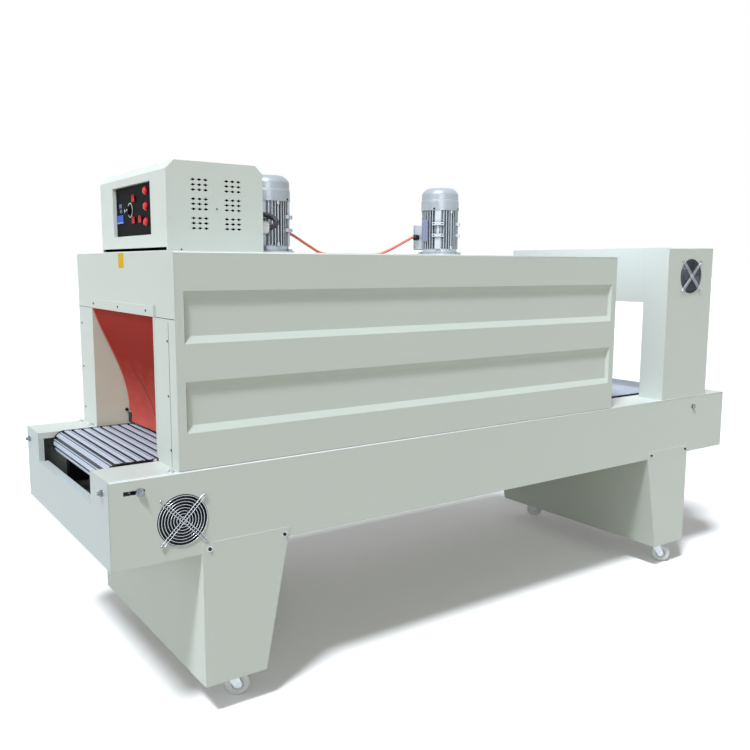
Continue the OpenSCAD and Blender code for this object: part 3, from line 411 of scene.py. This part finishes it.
# Yellow strip. A blank piece of matt vinyl film, stuck below the roof's front edge.
tag = bmesh.new()
slab(tag, (front_x - 0.0005, -0.052, roof_z - 0.0455), (front_x, -0.003, roof_z - 0.0010))
yellow = material("yellow film", "D2AC12", 0.6)
yellow.node_tree.nodes["Principled BSDF"].inputs["Specular IOR Level"].default_value = 0.1
mottle(yellow, 0.03, "CAA40E", "DAB41A")
piece("yellow_strip", tag, yellow)

# Inside of the tunnel. The passage is lined with coated steel sheet, riveted to the frame, that heat has
# turned dull and a little cream.
liner = material("heat-toned liner", "BEBDAD", 0.6)
grain(liner, peel, peel_depth, edge=fold_edge)
mottle(liner, 0.3, "B8B7A6", "C5C5B5")
coat(liner, "tunnel_inner_walls")

# Plated parts. The casters are pressed steel in bright zinc, bolted under the legs. The rollers' axles
# and the take-up screws are turned steel in zinc that has gone dull. Both mirror softly, in patches.
zinc = material("bright zinc plate", "C9CED2", 0.28, metallic=1.0)
grain(zinc, 0.0012, 0.0001, edge=0.0008)
mottle(zinc, 0.02, 0.22, 0.36, "Roughness")
coat(zinc, "caster_plates", "caster_fork_*")
axle_lo, axle_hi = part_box("belt_rollers")
axle_z = (axle_lo.z + axle_hi.z) / 2
takeup_y = 0.412
for side in (-1, 1):
    stud(pale_screws, (bed_lo.x - 0.002, side * takeup_y, axle_z), (-1, 0, 0), 0.0115, 0, 0.0016)
piece("plated_screws", pale_screws, zinc)
dull = material("dull zinc plate", "8A9096", 0.3, metallic=1.0)
grain(dull, 0.0012, 0.0001, edge=0.0008)
mottle(dull, 0.02, 0.22, 0.4, "Roughness")
coat(dull, "belt_rollers", "takeup_screws")

# Caster wheels, moulded in white nylon with a soft sheen, on steel pins.
nylon = material("white nylon", "D6DADE", 0.4, ior=1.53)
grain(nylon, 0.002, 0.0001, edge=0.001)
coat(nylon, "caster_wheel_*")

# Belt. One loop over both rollers: strips of bright steel wire, held by dark oiled links behind them,
# between two black roller chains. The wires' weave is drawn coarser than it is, so that it shows.
belt_lo, belt_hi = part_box("mesh_belt")
belt_r = (belt_hi.z - belt_lo.z) / 2
axis_z = (belt_hi.z + belt_lo.z) / 2
chain_room = 0.0019
roll_x1 = belt_lo.x + belt_r + chain_room
roll_x2 = belt_hi.x - belt_r - chain_room
run = roll_x2 - roll_x1


def on_belt(s, r):
    """Point and outward direction at distance s along the belt's surface, on the loop of radius r."""
    turn_len = math.pi * belt_r
    s %= 2 * (run + turn_len)
    if s < run:
        return Vector((roll_x1 + s, 0, axis_z + r)), Vector((0, 0, 1))
    if s < run + turn_len:
        a = (s - run) / belt_r
        out = Vector((math.sin(a), 0, math.cos(a)))
        return Vector((roll_x2, 0, axis_z)) + r * out, out
    if s < 2 * run + turn_len:
        return Vector((roll_x2 - (s - run - turn_len), 0, axis_z - r)), Vector((0, 0, -1))
    a = (s - 2 * run - turn_len) / belt_r
    out = Vector((-math.sin(a), 0, -math.cos(a)))
    return Vector((roll_x1, 0, axis_z)) + r * out, out


belt_len = 2 * (run + math.pi * belt_r)
strip_step = 0.03175
strips = round(belt_len / strip_step)
pitch = belt_len / strips
chain_width = 0.015
across = Vector((0, 2 * (belt_hi.y - chain_width), 0))


def prism(bm, loop, shift):
    """Adds a prism from a loop of points and a shift."""
    loft(bm, [loop, [p + shift for p in loop]])


rods = bmesh.new()
first_strip = 0.0215
rod_r, rod_sink, rod_sides = 0.0017, 0.0021, 7
rods_ahead = (0.0070, 0.0108, 0.0146, 0.0184, 0.0250)
for i in range(strips):
    for ahead in rods_ahead:
        centre, out = on_belt(first_strip + i * pitch + ahead, belt_r - rod_sink)
        along = Vector((out.z, 0, -out.x))
        loop = [centre + rod_r * (math.cos(a) * out + math.sin(a) * along) - across / 2
                for a in (math.tau * n / rod_sides for n in range(rod_sides))]
        prism(rods, loop, across)
belt_steel = material("bright belt wire", "C3C8D2", 0.36, metallic=0.6)
weave = put(belt_steel, "ShaderNodeTexWave", {
    "Vector": put(belt_steel, "ShaderNodeTexCoord").outputs["Object"], "Scale": 62.0, "Distortion": 0.6,
    "Detail": 1.0}, bands_direction="Y")
feed(belt_steel, "Normal", put(belt_steel, "ShaderNodeBump", {
    "Height": weave.outputs["Fac"], "Strength": 0.6, "Distance": 0.0008}).outputs["Normal"])
shade = put(belt_steel, "ShaderNodeMix", {"Factor": weave.outputs["Fac"]}, data_type="RGBA")
shade.inputs["A"].default_value = srgb("AEBED4")
shade.inputs["B"].default_value = srgb("EAF2FB")
feed(belt_steel, "Base Color", shade.outputs["Result"])
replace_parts(piece("belt_rods", rods, belt_steel), "mesh_belt")

links = bmesh.new()
steps = 2 * strips
link_top, link_foot = 0.0052, 0.0075
band = [on_belt(i * belt_len / steps, belt_r - link_top)[0] for i in range(steps)]
inner = [on_belt(i * belt_len / steps, belt_r - link_foot)[0] for i in range(steps)]
for i in range(steps):
    j = (i + 1) % steps
    prism(links, [p - across / 2 for p in (band[i], band[j], inner[j], inner[i])], across)
link_dark = material("oiled belt links", "3C424E", 0.4, metallic=0.8)
grain(link_dark, 0.003, 0.0004)
piece("belt_links", links, link_dark)

chain = bmesh.new()
chain_step = 0.01905
chain_links = round(belt_len / chain_step)
chain_r = belt_r - 0.0055
plate_t, plate_gap = 0.0014, 0.0058
plate_reach, plate_rise = 0.0118, 0.0054
roller_r, roller_len = 0.0048, 0.0044
for i in range(chain_links):
    centre, out = on_belt((i + 0.5) * belt_len / chain_links, chain_r)
    along = Vector((out.z, 0, -out.x))
    inner_pair = i % 2
    for side in (-1, 1):
        for lane in (0, 1, 2):
            y = side * (belt_hi.y - 0.0022 - lane * plate_gap - (plate_t if inner_pair else 0))
            loop = []
            for n in range(12):
                a = math.tau * n / 12
                reach = plate_reach * math.cos(a)
                rise = plate_rise * math.sin(a) * (0.86 + 0.14 * abs(math.cos(a)) * 2)
                loop.append(centre + along * reach + out * rise + Vector((0, y - plate_t / 2, 0)))
            prism(chain, loop, Vector((0, plate_t, 0)))
    pin, pin_out = on_belt(i * belt_len / chain_links, chain_r)
    flat = Vector((pin_out.z, 0, -pin_out.x))
    for side in (-1, 1):
        inside = Vector((0, side * (belt_hi.y - 0.0050) - roller_len / 2, 0))
        loop = [pin + roller_r * (math.cos(a) * pin_out + math.sin(a) * flat) + inside
                for a in (math.tau * n / 8 for n in range(8))]
        prism(chain, loop, Vector((0, roller_len, 0)))
chain_steel = material("black oiled chain", "1E2128", 0.38, metallic=0.7)
grain(chain_steel, 0.002, 0.0002)
piece("edge_chains", chain, chain_steel)

# Curtains. Red silicone sheet, clamped along the top of each mouth and notched at the far corner for
# the belt's chain. The infeed one is blown in along the belt and hangs straight at its foot, its near
# half a little further in. The sheet is matt; its colour is painted paler towards the foot and darker
# higher up, as painted light and shade.
silicone = material("red silicone", "A8352C", 0.7, ior=1.41)
silicone.node_tree.nodes["Principled BSDF"].inputs["Specular IOR Level"].default_value = 0.08
grain(silicone, 0.004, 0.0002, strength=0.15)
# Painted light and shade: the red goes paler low on the sheet and darker high up, over a cloudy band.
height = put(silicone, "ShaderNodeSeparateXYZ", {
    "Vector": put(silicone, "ShaderNodeTexCoord").outputs["Object"]})
cloud = put(silicone, "ShaderNodeTexNoise", {"Scale": 9.0, "Detail": 3.0})
shade_height = put(silicone, "ShaderNodeMath", {0: cloud.outputs["Fac"], 1: 0.25}, operation="MULTIPLY")
shade_height = put(silicone, "ShaderNodeMath", {
    0: height.outputs["Z"], 1: shade_height.outputs["Value"]}, operation="ADD")
lit_foot_z, shaded_top_z = 0.85, 1.12
light_and_shade = put(silicone, "ShaderNodeMapRange", {
    "Value": shade_height.outputs["Value"], "From Min": lit_foot_z, "From Max": shaded_top_z})
tone = put(silicone, "ShaderNodeMix", {"Factor": light_and_shade.outputs["Result"]}, data_type="RGBA")
tone.inputs["A"].default_value = srgb("B8584F")
tone.inputs["B"].default_value = srgb("A5332B")
feed(silicone, "Base Color", tone.outputs["Result"])


foot_room = 0.006


def swung(swing, f):
    """How far a curtain is blown in, at a share of its drop."""
    return swing * math.sin(math.radians(100 * f)) ** 1.3


def curtain(name, node, swing, parted):
    """A curtain in place of its CAD sheet, blown in by a swing, the near half parted a little more."""
    lo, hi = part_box(node)
    drop = hi.z - lo.z - foot_room
    rows, columns = 32, 60
    half = (hi.y - lo.y) / 2 - foot_room
    bm = bmesh.new()
    grid = []
    for i in range(rows + 1):
        f = i / rows
        row = []
        for u in range(columns + 1):
            y = half * (2 * u / columns - 1)
            fold = 0.003 * f * math.cos(math.tau * (1.4 * u / columns + 0.15)) if swing else 0
            near = parted * max(0, f - 0.45) ** 2 * max(0, 1 - u / (0.62 * columns))
            x = lo.x + 0.001 + swung(swing, f) + fold + near
            row.append(bm.verts.new((x, y, hi.z - drop * f)))
        grid.append(row)
    for i in range(rows):
        for u in range(columns):
            if i < rows - 3 or u < columns - 2:
                bm.faces.new((grid[i][u], grid[i + 1][u], grid[i + 1][u + 1], grid[i][u + 1]))
    obj = piece(name, bm, silicone, smooth=True)
    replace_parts(obj, node)


infeed_swing = 0.112
curtain("infeed_curtain", "curtain_infeed", infeed_swing, 0.02)
curtain("outfeed_curtain", "curtain_outfeed", 0.0, 0.0)

# The infeed curtain's far edge has a rolled hem, drawn paler as a painted highlight; its slit shows as a
# dark red line of painted shade; and a thin black block in its notch is painted shade there.
lo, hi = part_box("curtain_infeed")


def on_curtain(f, y, out):
    """A point on the infeed curtain at a share of its drop."""
    return (lo.x + swung(infeed_swing, f) - out, y, hi.z - (hi.z - lo.z - foot_room) * f)


hem = bmesh.new()
tube(hem, [on_curtain(0.9 * n / 24, hi.y - 0.008, 0.0) for n in range(25)], 0.003, 8)
# The hem's paler red is a painted highlight.
hem_highlight = material("red hem with painted highlight", "BA5A50", 0.7)
mottle(hem_highlight, 0.05, "B4544A", "C06258")
piece("curtain_hem", hem, hem_highlight, smooth=True)
slit = bmesh.new()
slit_line = [on_curtain(0.48 + 0.50 * n / 12, 0.142 - 0.150 * n / 12, 0.0012) for n in range(13)]
tube(slit, slit_line, 0.0008, 6)
slit_red = material("shaded red silicone", "54201C", 0.8)
mottle(slit_red, 0.05, "4C1A17", "5E2622")
piece("curtain_slit", slit, slit_red)
# A thin black block in the curtain's notch: painted shade.
notch_shade = bmesh.new()
slab(notch_shade, (lo.x + 0.106, 0.262, lo.z + 0.001), (lo.x + 0.110, 0.290, lo.z + 0.036))
piece("notch_shade_block", notch_shade, gasket)

# Control box. Thin black sheets stand inside it, behind the vents and behind the gap under the front
# wall, as painted shade, so that both look dark and empty.
hood_lo, hood_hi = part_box("control_hood")
shade_sheets = bmesh.new()
shade_sheet_y = 0.2945
for side in (-1, 1):
    slab(shade_sheets, (hood_lo.x + 0.004, side * shade_sheet_y - 0.0005, roof_z + 0.030),
         (hood_hi.x - 0.004, side * shade_sheet_y + 0.0005, roof_z + 0.225))
slab(shade_sheets, (hood_lo.x + 0.006, -0.290, roof_z + 0.001),
     (hood_lo.x + 0.008, 0.290, roof_z + 0.022))
# Matt black sheets: painted shade inside the box.
shade_black = material("matt black painted shade", "060606", 0.9)
shade_black.node_tree.nodes["Principled BSDF"].inputs["Specular IOR Level"].default_value = 0.0
mottle(shade_black, 0.05, "050505", "0A0A0A")
piece("box_shade_sheets", shade_sheets, shade_black)

# Control panel. A black anodised plate, sunk in the front wall and held from behind, with a dial and
# its printed scale, a blue display, red lamps and pointer knobs. The plate is matt and mirrors little.
plate = material("black anodised plate", "08080A", 0.6)
plate.node_tree.nodes["Principled BSDF"].inputs["Specular IOR Level"].default_value = 0.05
grain(plate, 0.001, 0.00005)
mottle(plate, 0.02, "060608", "0C0C0E")
coat(plate, "control_panel")
panel_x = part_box("control_panel")[0].x
dial_lo, dial_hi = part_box("dial_knob")
dial_y, dial_z = (dial_lo.y + dial_hi.y) / 2, (dial_lo.z + dial_hi.z) / 2


def on_panel(y, z, out=0.0):
    """A point on the panel's face, or in front of it."""
    return Vector((panel_x - out, y, z))


marks = bmesh.new()
scale_r, scale_t = 0.0215, 0.0013
ink = Vector((-0.0003, 0, 0))
for n in range(20):
    a1, a2 = (math.radians(40 + 14 * (n + k)) for k in (0, 1))
    corners = [(scale_r - scale_t, a1), (scale_r + scale_t, a1),
               (scale_r + scale_t, a2), (scale_r - scale_t, a2)]
    prism(marks, [on_panel(dial_y + r * math.cos(a), dial_z + r * math.sin(a)) for r, a in corners], ink)
stud(marks, on_panel(dial_y, dial_z, 0.0104), (-1, 0, 0), 0.003, 0, 0.0003, 16)
dial = bmesh.new()
grip = [(0, 0.0004), (0.013, 0.0004), (0.013, 0.003), (0.010, 0.0095), (0, 0.0102)]
lathe(dial, on_panel(dial_y, dial_z), (-1, 0, 0), grip, 28)
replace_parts(piece("dial_grip", dial, plate, "dial"), "dial_knob")
arrow = ((0.044, 0), (0.054, 0.006), (0.054, -0.006))
prism(marks, [on_panel(dial_y + y, dial_z + z) for y, z in arrow], ink)
white_ink = material("white ink", "DADDE0", 0.5)
mottle(white_ink, 0.005, "D2D5D9", "E2E5E8")
piece("dial_marks", marks, white_ink)

# The display is a blue film window with a pale lower edge; two slate-blue figure windows stand above it.
display = bmesh.new()
display_y = (dial_y + 0.062, dial_y + 0.124)
slab(display, (panel_x - 0.0025, display_y[0], dial_z - 0.036), (panel_x, display_y[1], dial_z - 0.012))
blue = material("blue display", "1E4ABC", 0.3)
blue.node_tree.nodes["Principled BSDF"].inputs["Specular IOR Level"].default_value = 0.1
mottle(blue, 0.02, "163EB0", "2858CC")
piece("display", display, blue)
edge = bmesh.new()
slab(edge, (panel_x - 0.0029, display_y[0], dial_z - 0.0375),
     (panel_x - 0.0001, display_y[1], dial_z - 0.0345))
digits = material("pale blue film", "8FB2DE", 0.4)
mottle(digits, 0.01, "84A6D4", "9ABCE6")
piece("display_edge", edge, digits)
blocks = bmesh.new()
for y, z, w, h in ((0.133, 1.483, 0.026, 0.013), (0.130, 1.467, 0.020, 0.010)):
    slab(blocks, (panel_x - 0.0004, y - w / 2, z - h / 2), (panel_x, y + w / 2, z + h / 2))
slate = material("slate blue film", "3E5878", 0.4)
mottle(slate, 0.006, "31486A", "4C6A8C")
piece("figure_windows", blocks, slate)

# The lamps have clear red acrylic lenses. The knobs are red phenolic pointers on black skirts, pressed on
# their spindles, and turn with them.
lens = material("red acrylic", "D0121A", 0.16, ior=1.49)
mottle(lens, 0.01, "C80E16", "D8181F")
coat(lens, "signal_lamps")
red = material("red phenolic", "C4141A", 0.25)
mottle(red, 0.01, "B81016", "CE1A20")
for i in (1, 2, 3):
    lo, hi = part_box(f"selector_{i}")
    d = hi.y - lo.y
    middle = on_panel((lo.y + hi.y) / 2, lo.z + d / 2)
    skirt = bmesh.new()
    profile = [(0, -0.004), (0.003, -0.004), (0.003, 0.0003), (d / 2, 0.0003), (d / 2, 0.0022),
               (d * 0.42, 0.0030), (0, 0.0030)]
    lathe(skirt, middle, (-1, 0, 0), profile, 28)
    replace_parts(piece(f"skirt_{i}", skirt, plate, f"selector_{i}"), f"selector_{i}")
    lever = bmesh.new()
    loops = []
    shape = ((-0.24, -0.46), (0.24, -0.46), (0.26, -0.1), (0.05, 0.6), (-0.05, 0.6), (-0.26, -0.1))
    for out, wide in ((0.0026, 1.0), (0.0065, 0.7), (0.0092, 0.3)):
        loops.append([middle + Vector((-out, y * d * wide, z * d)) for y, z in shape])
    loft(lever, loops)
    piece(f"pointer_{i}", lever, red, f"selector_{i}")

# Motors. Cast aluminium bodies, bolted to the roof, under silver paint, darkened in the gaps between
# the fins as painted shade, and pressed steel cowls in the same paint, which is half metal and mirrors
# softly.
alloy = material("silver-painted casting", "B4BCC4", 0.42, metallic=0.35)
grain(alloy, 0.0015, 0.0002, edge=0.001)
# Painted shade: the casting's colour turns dark where the fins stand close around it.
crevice_shade = put(alloy, "ShaderNodeAmbientOcclusion", {"Distance": 0.012}, samples=8, only_local=True)
shade = put(alloy, "ShaderNodeMix", {"Factor": crevice_shade.outputs["AO"]}, data_type="RGBA")
shade.inputs["A"].default_value = srgb("2A2F36")
shade.inputs["B"].default_value = srgb("C6CED6")
feed(alloy, "Base Color", shade.outputs["Result"])
coat(alloy, "motor_infeed", "motor_outfeed")
pressed = material("silver-painted cowl", "AAB2BA", 0.36, metallic=0.35)
grain(pressed, 0.0015, 0.0001, edge=0.0012)
mottle(pressed, 0.04, "A4ACB4", "B0B8C0")
coat(pressed, "motor_cowls")

# Each motor has a blank blue nameplate on four rivets, and its cowl is held by four black screws.
plates = bmesh.new()
rivets = bmesh.new()
cowl_screws = bmesh.new()
cowl_lo, cowl_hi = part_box("motor_cowls")
cowl_r = (cowl_hi.y - cowl_lo.y) / 2
for motor in ("motor_infeed", "motor_outfeed"):
    lo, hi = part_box(motor)
    axis = Vector(((lo.x + hi.x) / 2, 0, roof_z))
    face = axis + Vector((-0.0735, 0, 0.100))
    slab(plates, face + Vector((0, -0.015, -0.041)), face + Vector((0.004, 0.015, 0.041)))
    for y in (-0.012, 0.012):
        for z in (-0.036, 0.036):
            screw(rivets, face + Vector((0, y, z)), (-1, 0, 0), 0.005)
    cowl_foot = Vector((0, 0, cowl_lo.z + 0.006 - roof_z))
    for n in range(4):
        a = math.radians(213 + 90 * n)
        out = Vector((math.cos(a), math.sin(a), 0))
        screw(cowl_screws, axis + out * cowl_r + cowl_foot, out, 0.008)
nameplate = material("blank blue nameplate", "8890B4", 0.35, metallic=0.4)
mottle(nameplate, 0.012, "7C86B0", "9AA0BC")
piece("nameplates", plates, nameplate)
piece("nameplate_rivets", rivets, pressed)
piece("cowl_screws", cowl_screws, black_oxide)

# Glands. Moulded nylon nuts, screwed into the walls: black on the terminal boxes, white on the control
# box. The nylon has a low sheen.
black = material("black nylon", "121214", 0.4)
black.node_tree.nodes["Principled BSDF"].inputs["Specular IOR Level"].default_value = 0.3
grain(black, 0.001, 0.0001)
mottle(black, 0.02, "0F0F11", "17171A")
coat(black, "cable_glands")
white = material("white gland nylon", "ECEEF0", 0.4)
grain(white, 0.001, 0.0001, edge=0.002)
mottle(white, 0.02, "E6E8EA", "F0F2F4")
coat(white, "conduit_gland")


def through(points, steps):
    """A smooth curve through points, with some steps between each two."""
    p = [Vector(q) for q in points]
    last = len(p) - 1
    curve = []
    for i in range(last):
        a, b, c, d = p[max(i - 1, 0)], p[i], p[i + 1], p[min(i + 2, last)]
        for t in (k / steps for k in range(steps)):
            curve.append(b + (c - a) * t / 2 + (2 * a - 5 * b + 4 * c - d) * t ** 2 / 2
                         + (3 * b - a - 3 * c + d) * t ** 3 / 2)
    return curve + [p[last]]


# Motor cable. An orange silicone sheath, gripped by a gland at each terminal box; it hangs from one down
# onto the roof and up to the other.
cable_route = [
    (-0.5960, 0.0870, 1.4100), (-0.5860, 0.0870, 1.4100), (-0.5730, 0.0886, 1.4111),
    (-0.5560, 0.0910, 1.4120), (-0.5405, 0.0936, 1.4121), (-0.5240, 0.0970, 1.4100),
    (-0.5052, 0.1021, 1.4034), (-0.4860, 0.1080, 1.3950), (-0.4680, 0.1146, 1.3871),
    (-0.4500, 0.1210, 1.3790), (-0.4310, 0.1263, 1.3705), (-0.4120, 0.1310, 1.3620),
    (-0.3944, 0.1349, 1.3536), (-0.3755, 0.1400, 1.3465), (-0.3515, 0.1493, 1.3421),
    (-0.3265, 0.1600, 1.3395), (-0.3108, 0.1716, 1.3385), (-0.2825, 0.1800, 1.3385),
    (-0.2088, 0.1803, 1.3385), (-0.1335, 0.1750, 1.3395), (-0.0995, 0.1645, 1.3408),
    (-0.0765, 0.1500, 1.3465), (-0.0447, 0.1316, 1.3629), (-0.0150, 0.1130, 1.3820),
    (0.0093, 0.0977, 1.3982), (0.0260, 0.0870, 1.4100), (0.0310, 0.0870, 1.4100),
]
cable_line = through(cable_route, 2)
cable_d = 0.010
bm = bmesh.new()
tube(bm, cable_line, cable_d / 2, 12)
orange = material("orange silicone sheath", "E2765F", 0.5, ior=1.41)
grain(orange, 0.003, 0.0001)
mottle(orange, 0.05, "DE705A", "E67E68")
cable = piece("cable", bm, orange, smooth=True)
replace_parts(cable, "motor_cable")

# Conduit. Dark ribbed nylon, gripped by the white gland on the control box's rear wall; it arches over to
# the infeed motor's terminal box. Each rib is a ring of its own in the mesh.
conduit_route = [
    (-0.8065, -0.2620, 1.4110), (-0.7965, -0.2620, 1.4110), (-0.7869, -0.2600, 1.4137),
    (-0.7755, -0.2560, 1.4180), (-0.7669, -0.2490, 1.4242), (-0.7605, -0.2400, 1.4310),
    (-0.7581, -0.2300, 1.4372), (-0.7575, -0.2180, 1.4430), (-0.7574, -0.2032, 1.4479),
    (-0.7575, -0.1860, 1.4520), (-0.7563, -0.1664, 1.4555), (-0.7555, -0.1450, 1.4580),
    (-0.7570, -0.1226, 1.4595), (-0.7590, -0.0990, 1.4590), (-0.7600, -0.0742, 1.4550),
    (-0.7610, -0.0490, 1.4490), (-0.7627, -0.0237, 1.4418), (-0.7640, 0.0010, 1.4340),
    (-0.7644, 0.0247, 1.4261), (-0.7630, 0.0460, 1.4190), (-0.7584, 0.0637, 1.4141),
    (-0.7520, 0.0770, 1.4110), (-0.7438, 0.0839, 1.4100), (-0.7370, 0.0870, 1.4100),
    (-0.7270, 0.0870, 1.4100),
]
conduit_line = through(conduit_route, 14)
conduit_d = 0.017
rib, rib_depth = 0.0046, 0.0005
walked = 0.0
radii = []
for i, point in enumerate(conduit_line):
    walked += (point - conduit_line[max(i - 1, 0)]).length
    radii.append(conduit_d / 2 - rib_depth + rib_depth * math.cos(math.tau * walked / rib))
bm = bmesh.new()
tube(bm, conduit_line, radii, 14)
ribbed = material("dark ribbed nylon", "24222E", 0.45)
mottle(ribbed, 0.04, "1C1B24", "2E2C3A")
conduit = piece("ribbed_conduit", bm, ribbed, smooth=True)
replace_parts(conduit, "conduit")

# Fans. Black moulded frames behind the walls, with broad dark blades that spin with the rotors, and
# guards of welded plated wire: rings, under two long closed loops that end round the fixing screws. The
# wire mirrors brightly; the arch's rings are thinner and drawn in a darker copy of the wire.
coat(black, "fan_frames")
wire = material("plated wire", "C2C7CC", 0.3, metallic=1.0)
grain(wire, 0.002, 0.00005)
mottle(wire, 0.02, 0.2, 0.32, "Roughness")
darker_wire = material("darker wire", "868C94", 0.35, metallic=1.0)
grain(darker_wire, 0.002, 0.00005)
mottle(darker_wire, 0.02, 0.28, 0.42, "Roughness")
moulding = material("dark grey moulding", "1E1F22", 0.5)
moulding.node_tree.nodes["Principled BSDF"].inputs["Specular IOR Level"].default_value = 0.15
grain(moulding, 0.002, 0.0001)
mottle(moulding, 0.03, "191A1D", "26272A")
guard_wires = bmesh.new()
arch_rings = bmesh.new()
throats = bmesh.new()
guard_screws = bmesh.new()
screw_reach = 0.125 / math.sqrt(2)
ring_r, ring_step, ring_rise = 0.070, 0.0085, 0.0026
loop_half, loop_rise = 0.0045, 0.0050
throat_r, throat_in, lip_in = 0.0738, 0.0686, 0.0560
hub_face, hub_r = 0.024, 0.030
blade_count, blade_t = 7, 0.0016
blade_radii = (0.029, 0.042, 0.055, 0.0672)
blade_steps = 5
for i in (1, 2, 3, 4):
    lo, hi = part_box(f"fan_rotor_{i}")
    middle = Vector(next(j["pos_m"] for j in frame["joints"] if j["child"] == f"rotor_{i}"))
    side = 1 if middle.y > 0 else -1
    front = Vector((0, side, 0))
    face = Vector((middle.x, (hi.y if side > 0 else lo.y), middle.z))
    wall = face + front * 0.006
    on_bed = middle.x < 0
    for k in range(8):
        r = ring_r - ring_step * k
        ring = [wall + front * ring_rise + r * Vector((math.cos(a), 0, math.sin(a)))
                for a in (math.tau * n / 56 for n in range(56))]
        tube(guard_wires if on_bed else arch_rings, ring, 0.0011 if on_bed else 0.0009, 6, closed=True)
    for inner_r, z1, z2 in ((throat_in, 0.010, 0.024), (lip_in, 0.0356, 0.0378)):
        lathe(throats, wall, -front, [(throat_r, z1), (inner_r, z1), (inner_r, z2), (throat_r, z2)], 56)
    for turn in (math.pi / 4, 3 * math.pi / 4):
        along = Vector((math.cos(turn), 0, math.sin(turn)))
        beside = Vector((-math.sin(turn), 0, math.cos(turn)))
        ends = [(1, math.radians(a)) for a in range(-90, 91, 20)]
        ends += [(-1, math.radians(a)) for a in range(90, 271, 20)]
        loop = [wall + front * loop_rise + end * screw_reach * along
                + loop_half * (math.cos(a) * along + math.sin(a) * beside) for end, a in ends]
        tube(guard_wires, loop, 0.0012 if on_bed else 0.0016, 6, closed=True)
        for end in (-1, 1):
            hole = wall + end * screw_reach * along
            screw(guard_screws, hole + front * loop_rise, front, 0.0085)
            stud(guard_screws, hole, front, 0.002, -0.001, 0.005, 16)
    blades = bmesh.new()
    deep = hi.y - lo.y
    lathe(blades, face, -front, [(0, 0), (hub_face, 0), (hub_r, 0.004), (hub_r, deep), (0, deep)], 28)
    for n in range(blade_count):
        sheets = []
        for back in (0.0, blade_t):
            rows = []
            for r in blade_radii:
                row = []
                for v in range(blade_steps + 1):
                    share = v / blade_steps
                    a = math.tau * (n + side * 1.15 * share * (0.85 + 3 * r)) / blade_count
                    behind = 0.002 + back + (deep - 0.0056) * share
                    row.append(blades.verts.new(
                        face - front * behind + r * Vector((math.cos(a), 0, math.sin(a)))))
                rows.append(row)
            sheets.append(rows)
        outer = len(blade_radii) - 1
        for q in range(outer):
            for v in range(blade_steps):
                for rows in sheets:
                    blades.faces.new((rows[q][v], rows[q][v + 1], rows[q + 1][v + 1], rows[q + 1][v]))
        rim = [(q, 0) for q in range(outer)] + [(outer, v) for v in range(blade_steps)]
        rim += [(q, blade_steps) for q in range(outer, 0, -1)]
        rim += [(0, v) for v in range(blade_steps, 0, -1)]
        for (q1, v1), (q2, v2) in zip(rim, rim[1:] + rim[:1]):
            blades.faces.new((sheets[0][q1][v1], sheets[0][q2][v2], sheets[1][q2][v2], sheets[1][q1][v1]))
    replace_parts(piece(f"blades_{i}", blades, moulding, f"rotor_{i}"), f"fan_rotor_{i}")
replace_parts(piece("fan_guard_wires", guard_wires, wire, smooth=True), "fan_guards")
piece("arch_guard_rings", arch_rings, darker_wire, smooth=True)
piece("guard_screws", guard_screws, dull)
piece("fan_throats", throats, black)
